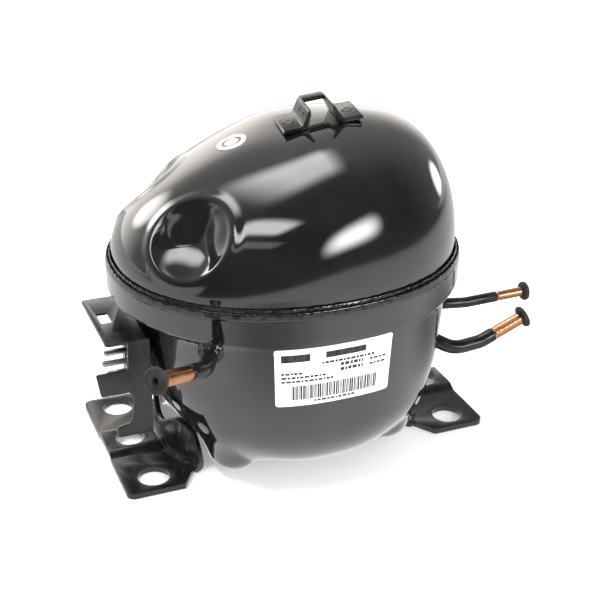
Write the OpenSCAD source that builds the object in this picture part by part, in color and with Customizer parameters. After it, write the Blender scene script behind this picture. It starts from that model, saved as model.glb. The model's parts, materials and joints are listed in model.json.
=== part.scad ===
// Hermetic reciprocating compressor for refrigeration. A welded oval shell stands on two stamped feet
// and carries three tube stubs, a terminal fence and a lifting bracket. A sprung motor and pump unit
// with a yoke-driven piston is sealed inside. X runs along the shell, Z is up, the floor is z = 0.

/* [Shell] */
// Wall thickness of both shell halves
shell_t = 3; // [2.6:0.1:3.4]
// Half length of the upper shell at its skirt
seam_a = 87.5; // [84:0.5:91]
// Half width of the upper shell at its skirt
seam_b = 74.5; // [72:0.5:77]
// Squareness of the oval at the seam
seam_n = 2.12; // [2:0.02:2.3]
// Height of the seam above the floor
seam_z = 98.5; // [96:0.5:102]
// Depth of the upper skirt inside the rim
skirt_depth = 8.5; // [6:0.5:9]
// Height of the upright skirt above the seam
skirt_rise = 8.3; // [7:0.1:10]
// Rise of the dome above its skirt
dome_h = 56.1; // [54:0.1:60]
// Squareness of the dome along its length
dome_long = 2.06; // [2:0.02:2.4]
// Squareness of the dome across its width
dome_wide = 3.22; // [2.8:0.02:3.6]
// Squareness of the oval near the dome's top
dome_n = 1.7; // [1.6:0.02:2]
// Tilt of the dome towards its left end
dome_tilt = 0.343; // [0.25:0.001:0.4]
// Fullness of the dome at both ends
dome_full = 0.145; // [0.05:0.005:0.2]
// Shift of the dome's crown to the right
dome_shift = 4.2; // [0:0.1:8]
// Half length of the lower shell's body
body_a = 80; // [78:0.5:82]
// Half width of the lower shell's body
body_b = 77; // [75:0.5:78]
// Squareness of the lower shell's body
body_n = 2.4; // [2.2:0.05:2.6]
// Radius between the end walls and the bottom
end_fillet = 48; // [45:1:50]
// Radius between the side walls and the bottom
side_fillet = 32; // [29:1:35]
// Draft of the end walls in degrees
end_draft = 5.5; // [4.5:0.25:6]
// Draft of the side walls in degrees
side_draft = 1.5; // [0.5:0.25:2.5]
// Height of the shell's bottom above the floor
bottom_z = 6; // [4:0.5:8]
// Distance of the spring pockets from the cross plane
pocket_x = 41.5; // [40.5:0.5:42.5]
// Distance of the spring pockets from the middle plane
pocket_y = 39.5; // [38.5:0.5:40.5]
// Outer radius of the spring pockets
pocket_r = 12; // [11.5:0.1:12.5]
// Height of the wide rim below the seam
band_h = 12; // [10:0.5:14]
// Distance of the dimples to the left of centre
dimple_x = 60.5; // [56:0.5:64]
// Distance of each dimple from the middle plane
dimple_y = 34.5; // [31:0.5:38]
// Height of the dimples above the seam
dimple_up = 30.5; // [28:0.5:34]
// Radius of the dimples at their lip
dimple_r = 23; // [19:0.5:25]
// Radius of the dimples at their floor
dimple_core = 8; // [5:0.5:12]
// Depth of the dimples
dimple_deep = 10; // [6:0.5:11]
// Height of the weld bead on the rim
bead_h = 4.6; // [3.5:0.1:6]

/* [Feet] */
// Grommet hole spacing along the length
hole_dx = 165; // [160:0.5:170]
// Distance of the grommet holes from each foot's sides
hole_edge = 11.8; // [11:0.1:13]
// Grommet hole diameter
hole_d = 16; // [14:0.1:18]
// Thickness of the foot plates
foot_t = 3; // [2.5:0.1:3.5]
// Length over both feet
foot_len = 197; // [192:1:204]
// Width of each foot
foot_w = 93.6; // [90:0.2:98]
// Corner radius of the feet
foot_corner = 4; // [2:0.5:6]
// Rise of each foot's middle step
step_h = 2.5; // [1.5:0.1:3.5]
// Width of the middle step's flat
step_w = 18; // [17:0.5:22]
// Run of the step's ramps
step_ramp = 5; // [4:0.5:7]
// Spacing of the two middle holes
mid_dx = 170; // [168:0.5:172]
// Diameter of the two middle holes
mid_d = 15; // [13:0.5:16]
// Distance from the centre to the inner end of each foot's sides
shoulder_x = 69.5; // [67:0.5:72]
// Slant of each foot's inner corners in degrees
shoulder_slant = 56.4; // [50:0.2:60]
// Height of the ears that hold the shell
ear_h = 24.5; // [23.5:0.1:25.5]
// Bearing of the ears around the shell's end
ear_at = 19; // [17:0.5:21]
// Height of the saddle between the ears
saddle_h = 14.5; // [13:0.5:16]
// Half angle of the saddle around the shell's end
ear_span = 31; // [29:0.5:32]
// Distance of the saddles inside the shell's half length
saddle_in = 13.4; // [13.2:0.1:14]
// Half width of the saddles' oval
saddle_b = 61; // [59:0.5:63]
// Flare of the saddle's root into the plate
saddle_flare = 3.5; // [3:0.1:3.7]

/* [Lifting bracket] */
// Centre of the bracket along the shell
bracket_x = 17; // [14:0.5:20]
// Turn of the bracket about the upright
bracket_turn = -8; // [-12:1:0]
// Width of the strap
bracket_w = 22; // [20:0.5:24]
// Length over both feet of the strap
bracket_len = 40; // [38:0.5:44]
// Width over the raised loop at its foot
loop_w = 20; // [18:0.5:22]
// Height of the raised loop
loop_h = 10; // [9:0.5:12]
// Strap thickness
bracket_t = 2; // [1.6:0.1:2.4]
// Width of the bridge left at the rear
bridge_w = 6; // [4:0.5:8]

/* [Terminal] */
// Height of the terminal above the floor
term_z = 51; // [49:0.5:53]
// Diameter of the terminal cup
cup_d = 30; // [28:0.5:32]
// Pin circle diameter
pin_pcd = 12; // [11:0.5:13]
// Pin diameter
pin_d = 3.2; // [2.6:0.1:3.6]
// Reach of the pins in front of the cup
pin_out = 13.5; // [11:0.5:15]
// Half width of the fence
fence_half = 25.5; // [24:0.5:28]
// Height of the fence's lower edge
fence_z0 = 23.4; // [22:0.2:26]
// Height of the fence's top flap
fence_z1 = 75.4; // [73:0.2:77]
// Reach of the top flap
flap_out = 20; // [18:0.5:23]
// Reach of the fence's side arm
arm_out = 27; // [24:0.5:29]
// Lower and upper edge of the side arm
arm_z = 47.6; // [45:0.2:50]
// Height of the side arm
arm_h = 12.6; // [11:0.2:14]
// Fence sheet thickness
fence_t = 1.5; // [1.2:0.1:2]

/* [Tubes] */
// Outer diameter of the suction tube
suction_d = 7.6; // [7:0.1:8.4]
// Outer diameter of the discharge tube
discharge_d = 6; // [5.6:0.1:6.6]
// Outer diameter of the process tube
process_d = 7.8; // [7:0.1:8.4]
// Wall of the steel tubes
tube_t = 0.7; // [0.6:0.05:0.8]
// Bend radius of the tubes
bend_r = 9; // [8:0.5:11]
// Depth of each copper stub inside its tube
stub_in = 6; // [4:0.5:6.5]
// Wall of the copper stubs
stub_t = 0.8; // [0.6:0.05:1]
// Depth of each plug's stem in its stub
stem_len = 9; // [7:0.5:11]
// Thickness of each plug's head
head_t = 3; // [2.5:0.1:4]
// How far each plug's head overhangs its stub
head_over = 2.7; // [2:0.1:3.4]

/* [Labels] */
// Lower edge of the label
label_z0 = 53.5; // [51:0.5:56]
// Upper edge of the label
label_z1 = 84; // [81:0.5:86]
// Label thickness
label_t = 0.25; // [0.2:0.05:0.4]
// Round sticker diameter
sticker_d = 18; // [14:0.5:20]

/* [Pump unit] */
// Piston stroke
stroke = 16; // [14:0.5:16]
// Cylinder bore
bore_d = 25; // [23:0.5:26]
// Radial running clearance of shafts and piston
run_fit = 0.03; // [0.02:0.005:0.05]
// Main journal diameter
shaft_d = 16; // [14:0.5:17]
// Crankpin diameter
crankpin_d = 14; // [13:0.5:15]
// Slide block diameter
block_d = 20; // [19:0.5:21]
// Length of the yoke tube
yoke_len = 42; // [40:0.5:42]
// Half width of the stator stack
stator_half = 50; // [48:0.5:51]
// Height of the stator stack
stack_h = 38; // [35:0.5:40]
// Rotor diameter
rotor_d = 56; // [54:0.5:57]
// Air gap between rotor and stator
air_gap = 0.6; // [0.5:0.05:0.8]
// Half spacing of the stator bolts and springs
bolt_half = 35; // [34:0.5:36]
// Stator bolt diameter
bolt_d = 5; // [4:0.1:6]
// Working length of the springs
spring_len = 18; // [16:0.5:19]
// Mean coil diameter of the springs
spring_d = 12.4; // [12:0.1:13]
// Spring wire diameter
wire_d = 2; // [1.6:0.1:2.2]
// Height of the posts under the crankcase
post_h = 18; // [17:0.5:19]
// Thickness of the crankcase plate
plate_t = 10; // [9:0.5:11]
// Height of the cylinder axis above the plate
cyl_up = 24; // [23.5:0.5:25]
// Room between the cylinder's seat and the seam's end
head_room = 38.5; // [38:0.5:40]
// Half width of the cylinder head
head_half = 23; // [22:0.5:23.5]

/* [Hidden] */
$fn = 64;
eps = 0.01;

// Shell oval and its angular steps
step = 6;
turns = [for (a = [0 : step : 360 - step]) a];
fit = 0.1;
rim_a = seam_a + fit + shell_t - 0.2;
rim_b = seam_b + fit + shell_t - 0.2;
band_z = seam_z - band_h;
skirt_z = seam_z - skirt_depth;
dome_z = seam_z + skirt_rise;
floor_in = bottom_z + shell_t;

function mix(a, b, t) = a + (b - a) * t;
function sup_r(th, n) = 1 / pow(pow(abs(cos(th)), n) + pow(abs(sin(th)), n), 1 / n);
function oval(th, a, b, n, z) = [a * sup_r(th, n) * cos(th), b * sup_r(th, n) * sin(th), z];
function ring(row) = [for (th = turns) oval(th, row[1], row[2], row[3], row[0])];
function unit(v) = v / norm(v);

// Point of the dome at bearing th and rise angle p, moved in by inset
function dome_at(th, p, inset) =
    let (zz = pow(sin(p), 2 / dome_long), r = sup_r(th, mix(seam_n, dome_n, zz)))
    let (x = (seam_a - inset) * pow(cos(p), 2 / dome_long) * r * cos(th) + dome_shift * zz)
    let (y = (seam_b - inset) * pow(cos(p), 2 / dome_wide) * r * sin(th), u = x / seam_a)
    [x, y, dome_z + (dome_h * (1 + dome_tilt * u + dome_full * u * u) - inset) * zz];
// Outward direction of the dimples, and how far a point near one is pushed in
function dimple_axis(s) = unit([-0.68, -0.48 * s, 0.55]);
function dimple_push(d) =
    let (t = max(0, min(1, (dimple_r - d) / (dimple_r - dimple_core)))) dimple_deep * t * t * (3 - 2 * t);
function dimpled(q, s) =
    q - dimple_push(norm(q - [-dimple_x, -dimple_y * s, seam_z + dimple_up])) * dimple_axis(s);
function dome_pt(th, p, inset) = dimpled(dimpled(dome_at(th, p, inset), 1), -1);
function dome_ring(p, inset) = [for (th = turns) dome_pt(th, p, inset)];
// Height of the dome along its middle plane
dome_mid = concat([for (p = [0 : 2 : 90]) dome_at(180, p, 0)],
    [for (p = [88 : -2 : 0]) dome_at(0, p, 0)]);
dome_ridge = [for (q = dome_mid) [q[0], q[2]]];
function dome_top(x) = lookup(x, dome_ridge);
function dome_normal(th, p) =
    unit(cross(dome_at(th + 1, p, 0) - dome_at(th - 1, p, 0),
        dome_at(th, p + 1, 0) - dome_at(th, p - 1, 0)));

// Rows of the lower shell as height, half length, half width and squareness
function inset(r, h) = h < r ? r - sqrt(max(0, r * r - (r - h) * (r - h))) : 0;
function body_row(z, d) =
    let (h = z - bottom_z - d, drop = band_z - z)
    [z, body_a - d - drop * tan(end_draft) - inset(end_fillet - d, h),
    body_b - d - drop * tan(side_draft) - inset(side_fillet - d, h), body_n];
function fillet_row(f, d) = body_row(bottom_z + d + (end_fillet - d) * (1 - cos(f)), d);
function flare_row(z, t) =
    let (r = body_row(z, 0)) [z, mix(r[1], rim_a, t), mix(r[2], rim_b, t), mix(body_n, seam_n, t)];
low_out = concat([for (f = [0, 15, 30, 45, 60, 75, 90]) fillet_row(f, 0)],
    [flare_row(band_z - 6, 0), flare_row(band_z - 3, 0.2), flare_row(band_z - 0.8, 0.8),
    flare_row(band_z + 1, 1), flare_row(seam_z, 1)]);
low_in = concat([for (f = [0, 20, 45, 70, 90]) fillet_row(f, shell_t)],
    [body_row(band_z - 8, shell_t), body_row(band_z - 2, shell_t),
    [skirt_z, seam_a - shell_t - 0.5, seam_b - shell_t - 0.5, seam_n],
    [skirt_z, seam_a + fit, seam_b + fit, seam_n], [seam_z + 1, seam_a + fit, seam_b + fit, seam_n]]);
pocket_z = bottom_z - 1.3 + pocket_r;
low_rows = [for (r = low_out) if (r[0] > bottom_z + end_fillet - eps) r];
function wall_pt(th, z, d) = oval(th, lookup(z, [for (r = low_rows) [r[0], r[1]]]) + d,
    lookup(z, [for (r = low_rows) [r[0], r[2]]]) + d, lookup(z, [for (r = low_rows) [r[0], r[3]]]), z);

// Feet
foot_x = foot_len / 2;
foot_y = foot_w / 2;
hole_y = foot_y - hole_edge;
saddle_a = body_a - saddle_in;

// Terminal: the cup stands in the shell's left end
cup_x = -body_a - 2.5;
cup_len = 10;
pin_in = 10;
neck_d = pin_d - 0.2;
neck_out = 0.5;
fence_x = -body_row(fence_z1, 0)[1] - fit;
glass_d = pin_d * 2;

// Tube routes, each from inside the shell to the end of its copper stub
suction_path = [[body_a - 8, -13.6, 45.3], [body_a + 10, -24, 36.4],
    [body_a + 26, -24.8, 38.3], [body_a + 50, -25, 48.4]];
discharge_path = [[body_a - 8, -2, 55.2], [body_a + 28, -2, 50.9], [body_a + 64, -2.6, 52]];
process_exit = wall_pt(226, 82, 0);
process_path = [process_exit + [5.5, 8.9, 0], process_exit + [-6.9, -12.6, -2],
    process_exit + [-33.7, -31.3, 7.9]];
suction_split = 18;
discharge_split = 16.5;
process_split = 22;
stub_gap = 0.03;
// Hairline between a tube's straights and bends
joint_gap = 0.004;

// Pump unit levels, from the shell floor up
seat_z = floor_in + 3.5;
spring_z = seat_z + 1.5;
stud_z = floor_in + 0.7;
stud_r = 5.2;
cap_t = 3;
stack_z = spring_z + spring_len + cap_t;
stack_top = stack_z + stack_h;
plate_z = stack_top + post_h;
deck_z = plate_z + plate_t;
cyl_z = deck_z + cyl_up;
crank_e = stroke / 2;
crankpin_top = cyl_z + sqrt(block_d * block_d / 4 - pow(crankpin_d / 2 + 0.5, 2));
snug = 0.02;
shaft_r = shaft_d / 2;
bolt_r = bolt_d / 2;
hub_drop = 11;
winding_in = rotor_d / 2 + 2;
winding_out = bolt_half * sqrt(2) - 11.5;
block_r = block_d / 2;
yoke_r = block_r + 3;
web_z = deck_z + 0.3;
case_x = stator_half - 2;
case_y = stator_half - 4;
plenum_h = 26;
web_t = 4.7;
weight_r = shaft_r + 13;
barrel_x = crank_e + yoke_r + 2;
seat_x = seam_a - head_room;
crown_x = seat_x - 0.8;
reed_t = 0.2;
valve_t = 3;
gasket_t = 0.5;
head_x = seat_x + valve_t + gasket_t;
head_len = 8.5;
head_bolt_at = head_half - 4.5;
suction_port_y = 5;
discharge_port_y = 6;
loop_d = 5;

// Solid between rings, closed by a fan at each end
module loft(first, rings, last) {
    n = len(turns);
    m = len(rings);
    points = concat([first], [for (r = rings) each r], [last]);
    sides = [for (i = [0 : m - 2], j = [0 : n - 1])
        let (a = 1 + i * n + j, b = 1 + i * n + (j + 1) % n) each [[a, a + n, b + n], [a, b + n, b]]];
    end = 1 + (m - 1) * n;
    fans = [for (j = [0 : n - 1])
        each [[0, 1 + j, 1 + (j + 1) % n], [end + j, end + n, end + (j + 1) % n]]];
    polyhedron(points, concat(sides, fans));
}

// Ring-shaped solid around the seam, from section points given as outward offset and height
module collar(section) {
    n = len(turns);
    m = len(section);
    points = [for (s = section) each ring([s[1], seam_a + s[0], seam_b + s[0], seam_n])];
    sides = [for (i = [0 : m - 1], j = [0 : n - 1])
        let (a = i * n + j, b = i * n + (j + 1) % n)
        let (c = ((i + 1) % m) * n + j, d = ((i + 1) % m) * n + (j + 1) % n)
        each [[a, c, d], [a, d, b]]];
    polyhedron(points, sides);
}

// Sheet between two grids of points, columns first and rows upward
module sheet(front, back) {
    nc = len(front);
    nr = len(front[0]);
    points = concat([for (c = front) each c], [for (c = back) each c]);
    o = nc * nr;
    faces = [for (i = [0 : nc - 2], j = [0 : nr - 2]) let (a = i * nr + j, b = a + nr)
        each [[a, a + 1, b + 1], [a, b + 1, b], [o + a, o + b + 1, o + a + 1], [o + a, o + b, o + b + 1]]];
    rims = [for (i = [0 : nc - 2]) let (a = i * nr, b = a + nr, c = a + nr - 1, d = b + nr - 1)
        each [[a, b, o + b], [a, o + b, o + a], [d, c, o + c], [d, o + c, o + d]]];
    k = (nc - 1) * nr;
    ends = [for (j = [0 : nr - 2])
        each [[j + 1, j, o + j], [j + 1, o + j, o + j + 1],
        [k + j, k + j + 1, o + k + j + 1], [k + j, o + k + j + 1, o + k + j]]];
    polyhedron(points, concat(faces, rims, ends));
}

// Turns children from +Z to direction d at point p
module along(p, d) {
    u = unit(d);
    translate(p) rotate([0, acos(u[2]), atan2(u[1], u[0])]) children();
}

// Bend between directions u and w that starts at point s, hollow where the bore r0 is over zero
module elbow(s, u, w, bend, r, r0) {
    n = unit(w - (u * w) * u);
    ez = cross(-n, u);
    translate(s + bend * n)
    rotate([atan2(u[2], ez[2]), -asin(-n[2]), atan2(-n[1], -n[0])])
    rotate_extrude(angle = acos(u * w)) translate([bend, 0]) difference() {
        circle(r);
        if (r0 > 0) circle(r0);
    }
}

// Round bar along a route with even bends, or a pipe where the bore r0 is over zero
module bar(route, r, bend, r0 = 0) {
    m = len(route);
    dir = [for (i = [0 : m - 2]) unit(route[i + 1] - route[i])];
    cut = [for (i = [0 : m - 1]) i == 0 || i == m - 1 ? 0 : bend * tan(acos(dir[i - 1] * dir[i]) / 2)];
    for (i = [0 : m - 2]) {
        a = route[i] + dir[i] * (i == 0 ? 0 : cut[i] + joint_gap);
        b = route[i + 1] - dir[i] * (i == m - 2 ? 0 : cut[i + 1] + joint_gap);
        along(a, dir[i]) difference() {
            cylinder(h = norm(b - a), r = r);
            if (r0 > 0) translate([0, 0, -1]) cylinder(h = norm(b - a) + 2, r = r0);
        }
    }
    for (i = [1 : 1 : m - 2])
        elbow(route[i] - dir[i - 1] * cut[i], dir[i - 1], dir[i], bend, r, r0);
}

module pipe(route, r, t, bend) {
    bar(route, r, bend, r - t);
}

// Route of a tube up to the paint line, a given length before its end
function end_dir(route) = let (m = len(route)) unit(route[m - 1] - route[m - 2]);
function painted(route, split) =
    let (m = len(route)) [for (i = [0 : m - 1]) i < m - 1 ? route[i] : route[i] - split * end_dir(route)];
function tube_end(route) = route[len(route) - 1];
function stub_r(d) = d / 2 - tube_t / 2 + 0.05;

// Shell

module upper_shell() {
    outer = concat([ring([skirt_z, seam_a, seam_b, seam_n])],
        [for (p = [0, 12, 24, 36, 47, 57, 66, 75, 83]) dome_ring(p, 0)]);
    inner = concat([for (p = [80, 68, 54, 38, 20, 0]) dome_ring(p, shell_t)],
        [ring([skirt_z, seam_a - shell_t, seam_b - shell_t, seam_n])]);
    color([0.05, 0.05, 0.06]) loft(dome_at(0, 90, shell_t), concat(inner, outer), dome_at(0, 90, 0));
}

module at_pockets() {
    for (x = [-pocket_x, pocket_x], y = [-pocket_y, pocket_y]) translate([x, y, pocket_z]) children();
}

module lower_shell() {
    color([0.05, 0.05, 0.06]) difference() {
        union() {
            loft([0, 0, bottom_z], [for (r = low_out) ring(r)], [0, 0, seam_z]);
            at_pockets() sphere(pocket_r);
        }
        loft([0, 0, floor_in], [for (r = low_in) ring(r)], [0, 0, seam_z + 1]);
        at_pockets() sphere(pocket_r - shell_t);
        at_bolts() {
            seat_base(snug);
            translate([0, 0, spring_z - snug]) cylinder(h = spring_len, r = spring_d / 2 + 2 + snug);
        }
        along(suction_path[0], suction_path[1] - suction_path[0])
            cylinder(h = 30, r = suction_d / 2 + fit);
        along(discharge_path[0], discharge_path[1] - discharge_path[0])
            cylinder(h = 30, r = discharge_d / 2 + fit);
        along(process_path[0], process_path[1] - process_path[0])
            cylinder(h = 30, r = process_d / 2 + fit);
        translate([-body_a - 9, 0, term_z]) rotate([0, 90, 0]) cylinder(h = 20, d = cup_d + 0.1);
    }
}

module seam_weld() {
    w = rim_a - seam_a;
    color([0.09, 0.09, 0.1]) collar([[0, seam_z], [w - 0.2, seam_z], [w - 0.1, seam_z + bead_h * 0.4],
        [w * 0.62, seam_z + bead_h * 0.85], [0, seam_z + bead_h]]);
}

module lifting_bracket() {
    arm = bracket_len / 2 - (bracket_len - loop_w) / 4;
    rise = dome_top(bracket_x + arm) - dome_top(bracket_x - arm);
    mean = (dome_top(bracket_x + arm) + dome_top(bracket_x - arm)) / 2;
    hb = loop_w / 2;
    ht = hb - 2.5;
    r = 3;
    hi = loop_h;
    corner = [for (a = [0 : 22.5 : 90]) [ht - r + r * sin(a), hi - r + r * cos(a)]];
    ri = r - bracket_t;
    inner = [for (a = [90 : -22.5 : 0]) [ht - r + ri * sin(a), hi - r + ri * cos(a)]];
    foot = [[hb, bracket_t], [bracket_len / 2, bracket_t], [bracket_len / 2, 0], [hb - bracket_t, 0]];
    half = concat(corner, foot, inner);
    other = [for (i = [len(half) - 1 : -1 : 0]) [-half[i][0], half[i][1]]];
    color([0.06, 0.06, 0.07])
    translate([bracket_x, 0, mean + 0.4])
    rotate([0, -atan2(rise, 2 * arm), 0])
    rotate([0, 0, bracket_turn]) {
        difference() {
            rotate([90, 0, 0]) linear_extrude(bracket_w, center = true) polygon(concat(half, other));
            translate([-ht + bracket_t, -bracket_w / 2 - 1, hi - 1.5 * bracket_t])
                cube([2 * (ht - bracket_t), bracket_w + 1 - bridge_w, 3 * bracket_t]);
            for (s = [-1, 1]) translate([s * arm, 0, bracket_t - 0.6]) cylinder(h = 2, r1 = 1.2, r2 = 2.6);
        }
        for (s = [-1, 1]) translate([s * arm, 0, -1.4]) cylinder(h = 1.4 + eps, r = 2.4);
    }
}

// Feet

module foot_plan() {
    root_y = foot_y - 24;
    root_x = shoulder_x - 24 / tan(shoulder_slant);
    half = [[foot_x, foot_y - foot_corner], [foot_x - foot_corner, foot_y], [shoulder_x, foot_y],
        [root_x, root_y]];
    polygon(concat(half, [for (i = [3 : -1 : 0]) [half[i][0], -half[i][1]]]));
    for (t = [-1, 1]) translate([foot_x - foot_corner, t * (foot_y - foot_corner)]) circle(foot_corner);
}

// Saddle's top, inner face and root at a bearing around the shell's end
function polar(t, a, b, n) = pow(pow(abs(cos(t)) / a, n) + pow(abs(sin(t)) / b, n), -1 / n);
function saddle_top(t) =
    let (u = min(1, abs(t) / ear_at), v = max(0, (abs(t) - ear_at) / (ear_span - ear_at)))
    mix(saddle_h, ear_h, u * u * (3 - 2 * u)) - (ear_h - foot_t - 2) * pow(v, 4);
function saddle_r(t) =
    let (w = body_row(saddle_top(t), 0))
    max(polar(t, saddle_a, saddle_b, 2), polar(t, w[1], w[2], body_n)) + fit;
function saddle_pt(t, d, z) = [(saddle_r(t) + d) * cos(t), (saddle_r(t) + d) * sin(t), z];
function step_rise(t) =
    let (y = abs(saddle_pt(t, foot_t + saddle_flare, 0)[1]))
    step_h * max(0, min(1, (step_w / 2 + step_ramp - y) / step_ramp));

// Drawn-up flange that carries the shell's end
module saddle() {
    bearings = [for (i = [-10 : 10]) i / 10 * ear_span];
    root = foot_t + saddle_flare;
    outer = [for (t = bearings)
        let (b = foot_t + step_rise(t), k = min(1, (saddle_top(t) - b) / 6))
        [saddle_pt(t, root, b), saddle_pt(t, foot_t + 0.45 * saddle_flare, b + 0.6 * k),
        saddle_pt(t, foot_t + 0.12 * saddle_flare, b + 2.2 * k), saddle_pt(t, foot_t, b + 4.5 * k),
        saddle_pt(t, foot_t, saddle_top(t))]];
    inner = [for (t = bearings)
        let (b = step_rise(t), k = min(1, (saddle_top(t) - b - foot_t) / 6))
        [saddle_pt(t, root, b), saddle_pt(t, 0.8 * foot_t, b + 0.5 * k),
        saddle_pt(t, 0.25 * foot_t, b + 2.2 * k), saddle_pt(t, 0, b + foot_t + 3 * k),
        saddle_pt(t, 0, saddle_top(t))]];
    sheet(outer, inner);
}

module foot_plate() {
    hw = step_w / 2;
    prof = [[-foot_w, 0], [-hw - step_ramp, 0], [-hw, step_h], [hw, step_h], [hw + step_ramp, 0],
        [foot_w, 0], [foot_w, foot_t], [hw + step_ramp, foot_t], [hw, foot_t + step_h],
        [-hw, foot_t + step_h], [-hw - step_ramp, foot_t], [-foot_w, foot_t]];
    under = foot_t + saddle_flare - 0.2;
    inside = [for (i = [-14 : 14]) let (q = saddle_pt(i / 10 * ear_span, under, 0)) [q[0], q[1]]];
    difference() {
        intersection() {
            rotate([90, 0, 90]) linear_extrude(foot_x + 1) polygon(prof);
            translate([0, 0, -1]) linear_extrude(20) foot_plan();
        }
        linear_extrude(40, center = true) polygon(concat(inside, [[0, foot_w], [0, -foot_w]]));
    }
}

module foot() {
    difference() {
        union() {
            foot_plate();
            saddle();
        }
        for (s = [-1, 1]) translate([hole_dx / 2, s * hole_y, -1]) cylinder(h = 12, d = hole_d);
        translate([mid_dx / 2, 0, -1]) cylinder(h = foot_t + step_h + 4, d = mid_d);
    }
}

module right_foot() {
    color([0.06, 0.06, 0.07]) foot();
}

module left_foot() {
    color([0.06, 0.06, 0.07]) rotate([0, 0, 180]) foot();
}

// Terminal

module terminal_fence() {
    h = fence_z1 - fence_z0;
    color([0.06, 0.06, 0.07]) difference() {
        union() {
            translate([fence_x - fence_t, -fence_half, fence_z0]) cube([fence_t, 2 * fence_half, h]);
            translate([fence_x - flap_out - fence_t, -fence_half, fence_z1 - fence_t])
                cube([flap_out + fence_t, 2 * fence_half, fence_t]);
            translate([fence_x, -fence_half, 0]) rotate([90, 0, 0]) mirror([1, 0, 0])
                linear_extrude(fence_t, center = true)
                polygon([[0, fence_z0], [18, fence_z0], [18, fence_z0 + 5.5], [11, fence_z0 + 7],
                    [9, arm_z - 6], [11, arm_z], [arm_out - 2, arm_z], [arm_out, arm_z + arm_h],
                    [11.5, arm_z + arm_h], [11, fence_z1], [0, fence_z1]]);
        }
        translate([fence_x - 2, 0, term_z]) rotate([0, 90, 0]) cylinder(h = 4, d = cup_d + 6);
        translate([fence_x - flap_out + 2, -3, fence_z1 - 5]) cube([5.6, 11, 10]);
    }
}

module at_pins() {
    for (a = [90, 210, 330]) translate([0, pin_pcd / 2 * cos(a), term_z + pin_pcd / 2 * sin(a)])
        rotate([0, 90, 0]) children();
}

module terminal_cup() {
    color([0.3, 0.3, 0.32]) difference() {
        translate([cup_x, 0, term_z]) rotate([0, 90, 0]) {
            cylinder(h = cup_len, d = cup_d);
            translate([0, 0, cup_len - 1.5]) cylinder(h = 1.5, d = cup_d - 1);
        }
        translate([cup_x - 1, 0, term_z]) rotate([0, 90, 0]) cylinder(h = 3, d = cup_d - 4);
        translate([cup_x - 1, 0, 0]) at_pins() cylinder(h = cup_len + 2, d = glass_d);
    }
}

module terminal_glass() {
    color([0.1, 0.2, 0.25]) difference() {
        translate([cup_x, 0, 0]) at_pins() cylinder(h = cup_len, d = glass_d);
        translate([cup_x - 1, 0, 0]) at_pins() cylinder(h = cup_len + 2, d = neck_d);
    }
}

module terminal_pins() {
    color([0.75, 0.75, 0.72]) {
        translate([cup_x - pin_out, 0, 0]) at_pins() cylinder(h = pin_out - neck_out, d = pin_d);
        translate([cup_x - neck_out, 0, 0]) at_pins()
            cylinder(h = neck_out + cup_len + pin_in, d = neck_d);
    }
}

module connector_block() {
    color([0.85, 0.85, 0.8]) difference() {
        translate([cup_x + cup_len, -9, term_z - 9]) cube([pin_in + 1.5, 18, 18]);
        translate([cup_x + cup_len - 1, 0, 0]) at_pins() cylinder(h = pin_in + 1, d = neck_d);
    }
}

module lead_bundle() {
    x0 = cup_x + cup_len + pin_in + 1.5;
    x1 = -stator_half - 6;
    z1 = stack_top + 7;
    color([0.8, 0.75, 0.6])
        bar([[x0, 0, term_z + 4], [x1, 0, term_z + 4], [x1, -5, z1], [-winding_out - fit, -5, z1]], 2, 4);
}

// Tubes

module suction_tube() {
    color([0.06, 0.06, 0.07]) pipe(painted(suction_path, suction_split), suction_d / 2, tube_t, bend_r);
}

module discharge_tube() {
    color([0.06, 0.06, 0.07]) pipe(painted(discharge_path, discharge_split), discharge_d / 2, tube_t, bend_r);
}

module process_tube() {
    color([0.06, 0.06, 0.07]) pipe(painted(process_path, process_split), process_d / 2, tube_t, bend_r);
}

// Copper stub with a swaged end that slides into the steel tube
module stub(route, split, d) {
    bore = d / 2 - tube_t - stub_gap - stub_t;
    start = tube_end(route) - (split + stub_in) * end_dir(route);
    color([0.75, 0.38, 0.22]) along(start, end_dir(route)) difference() {
        union() {
            cylinder(h = split + stub_in, r = d / 2 - tube_t - stub_gap);
            translate([0, 0, stub_in]) cylinder(h = split, r = stub_r(d));
        }
        translate([0, 0, -1]) cylinder(h = split + stub_in + 2, r = bore);
    }
}

module plug(route, d) {
    bore = d / 2 - tube_t - stub_gap - stub_t;
    rim = stub_r(d) + head_over;
    color([0.1, 0.1, 0.1]) along(tube_end(route), end_dir(route)) rotate_extrude() difference() {
        union() {
            translate([0, -stem_len]) square([bore - 0.05, stem_len + 1]);
            square([rim - head_t / 2, head_t]);
            translate([rim - head_t / 2, head_t / 2]) circle(head_t / 2);
        }
        translate([0, head_t - 1.4]) square([rim * 0.38, 2]);
        translate([-10, -stem_len - 1]) square([10, stem_len + 10]);
    }
}

module suction_stub() {
    stub(suction_path, suction_split, suction_d);
}

module discharge_stub() {
    stub(discharge_path, discharge_split, discharge_d);
}

module process_stub() {
    stub(process_path, process_split, process_d);
}

module suction_plug() {
    plug(suction_path, suction_d);
}

module discharge_plug() {
    plug(discharge_path, discharge_d);
}

module process_plug() {
    plug(process_path, process_d);
}

// Distance from a tube's inner end to its braze at the shell's end wall, sunk in by d
function leave(route, d) =
    let (u = unit(route[1] - route[0])) (body_row(route[0][2], 0)[1] - route[0][0]) / u[0] - d;

// Braze fillet around a tube where it leaves the shell, at a distance from the tube's inner end
module braze(route, d, at) {
    u = unit(route[1] - route[0]);
    along(route[0] + u * at, u) difference() {
        cylinder(h = 4, r1 = d / 2 + 2.2, r2 = d / 2 + 0.5);
        translate([0, 0, -1]) cylinder(h = 6, d = d);
    }
}

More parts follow.
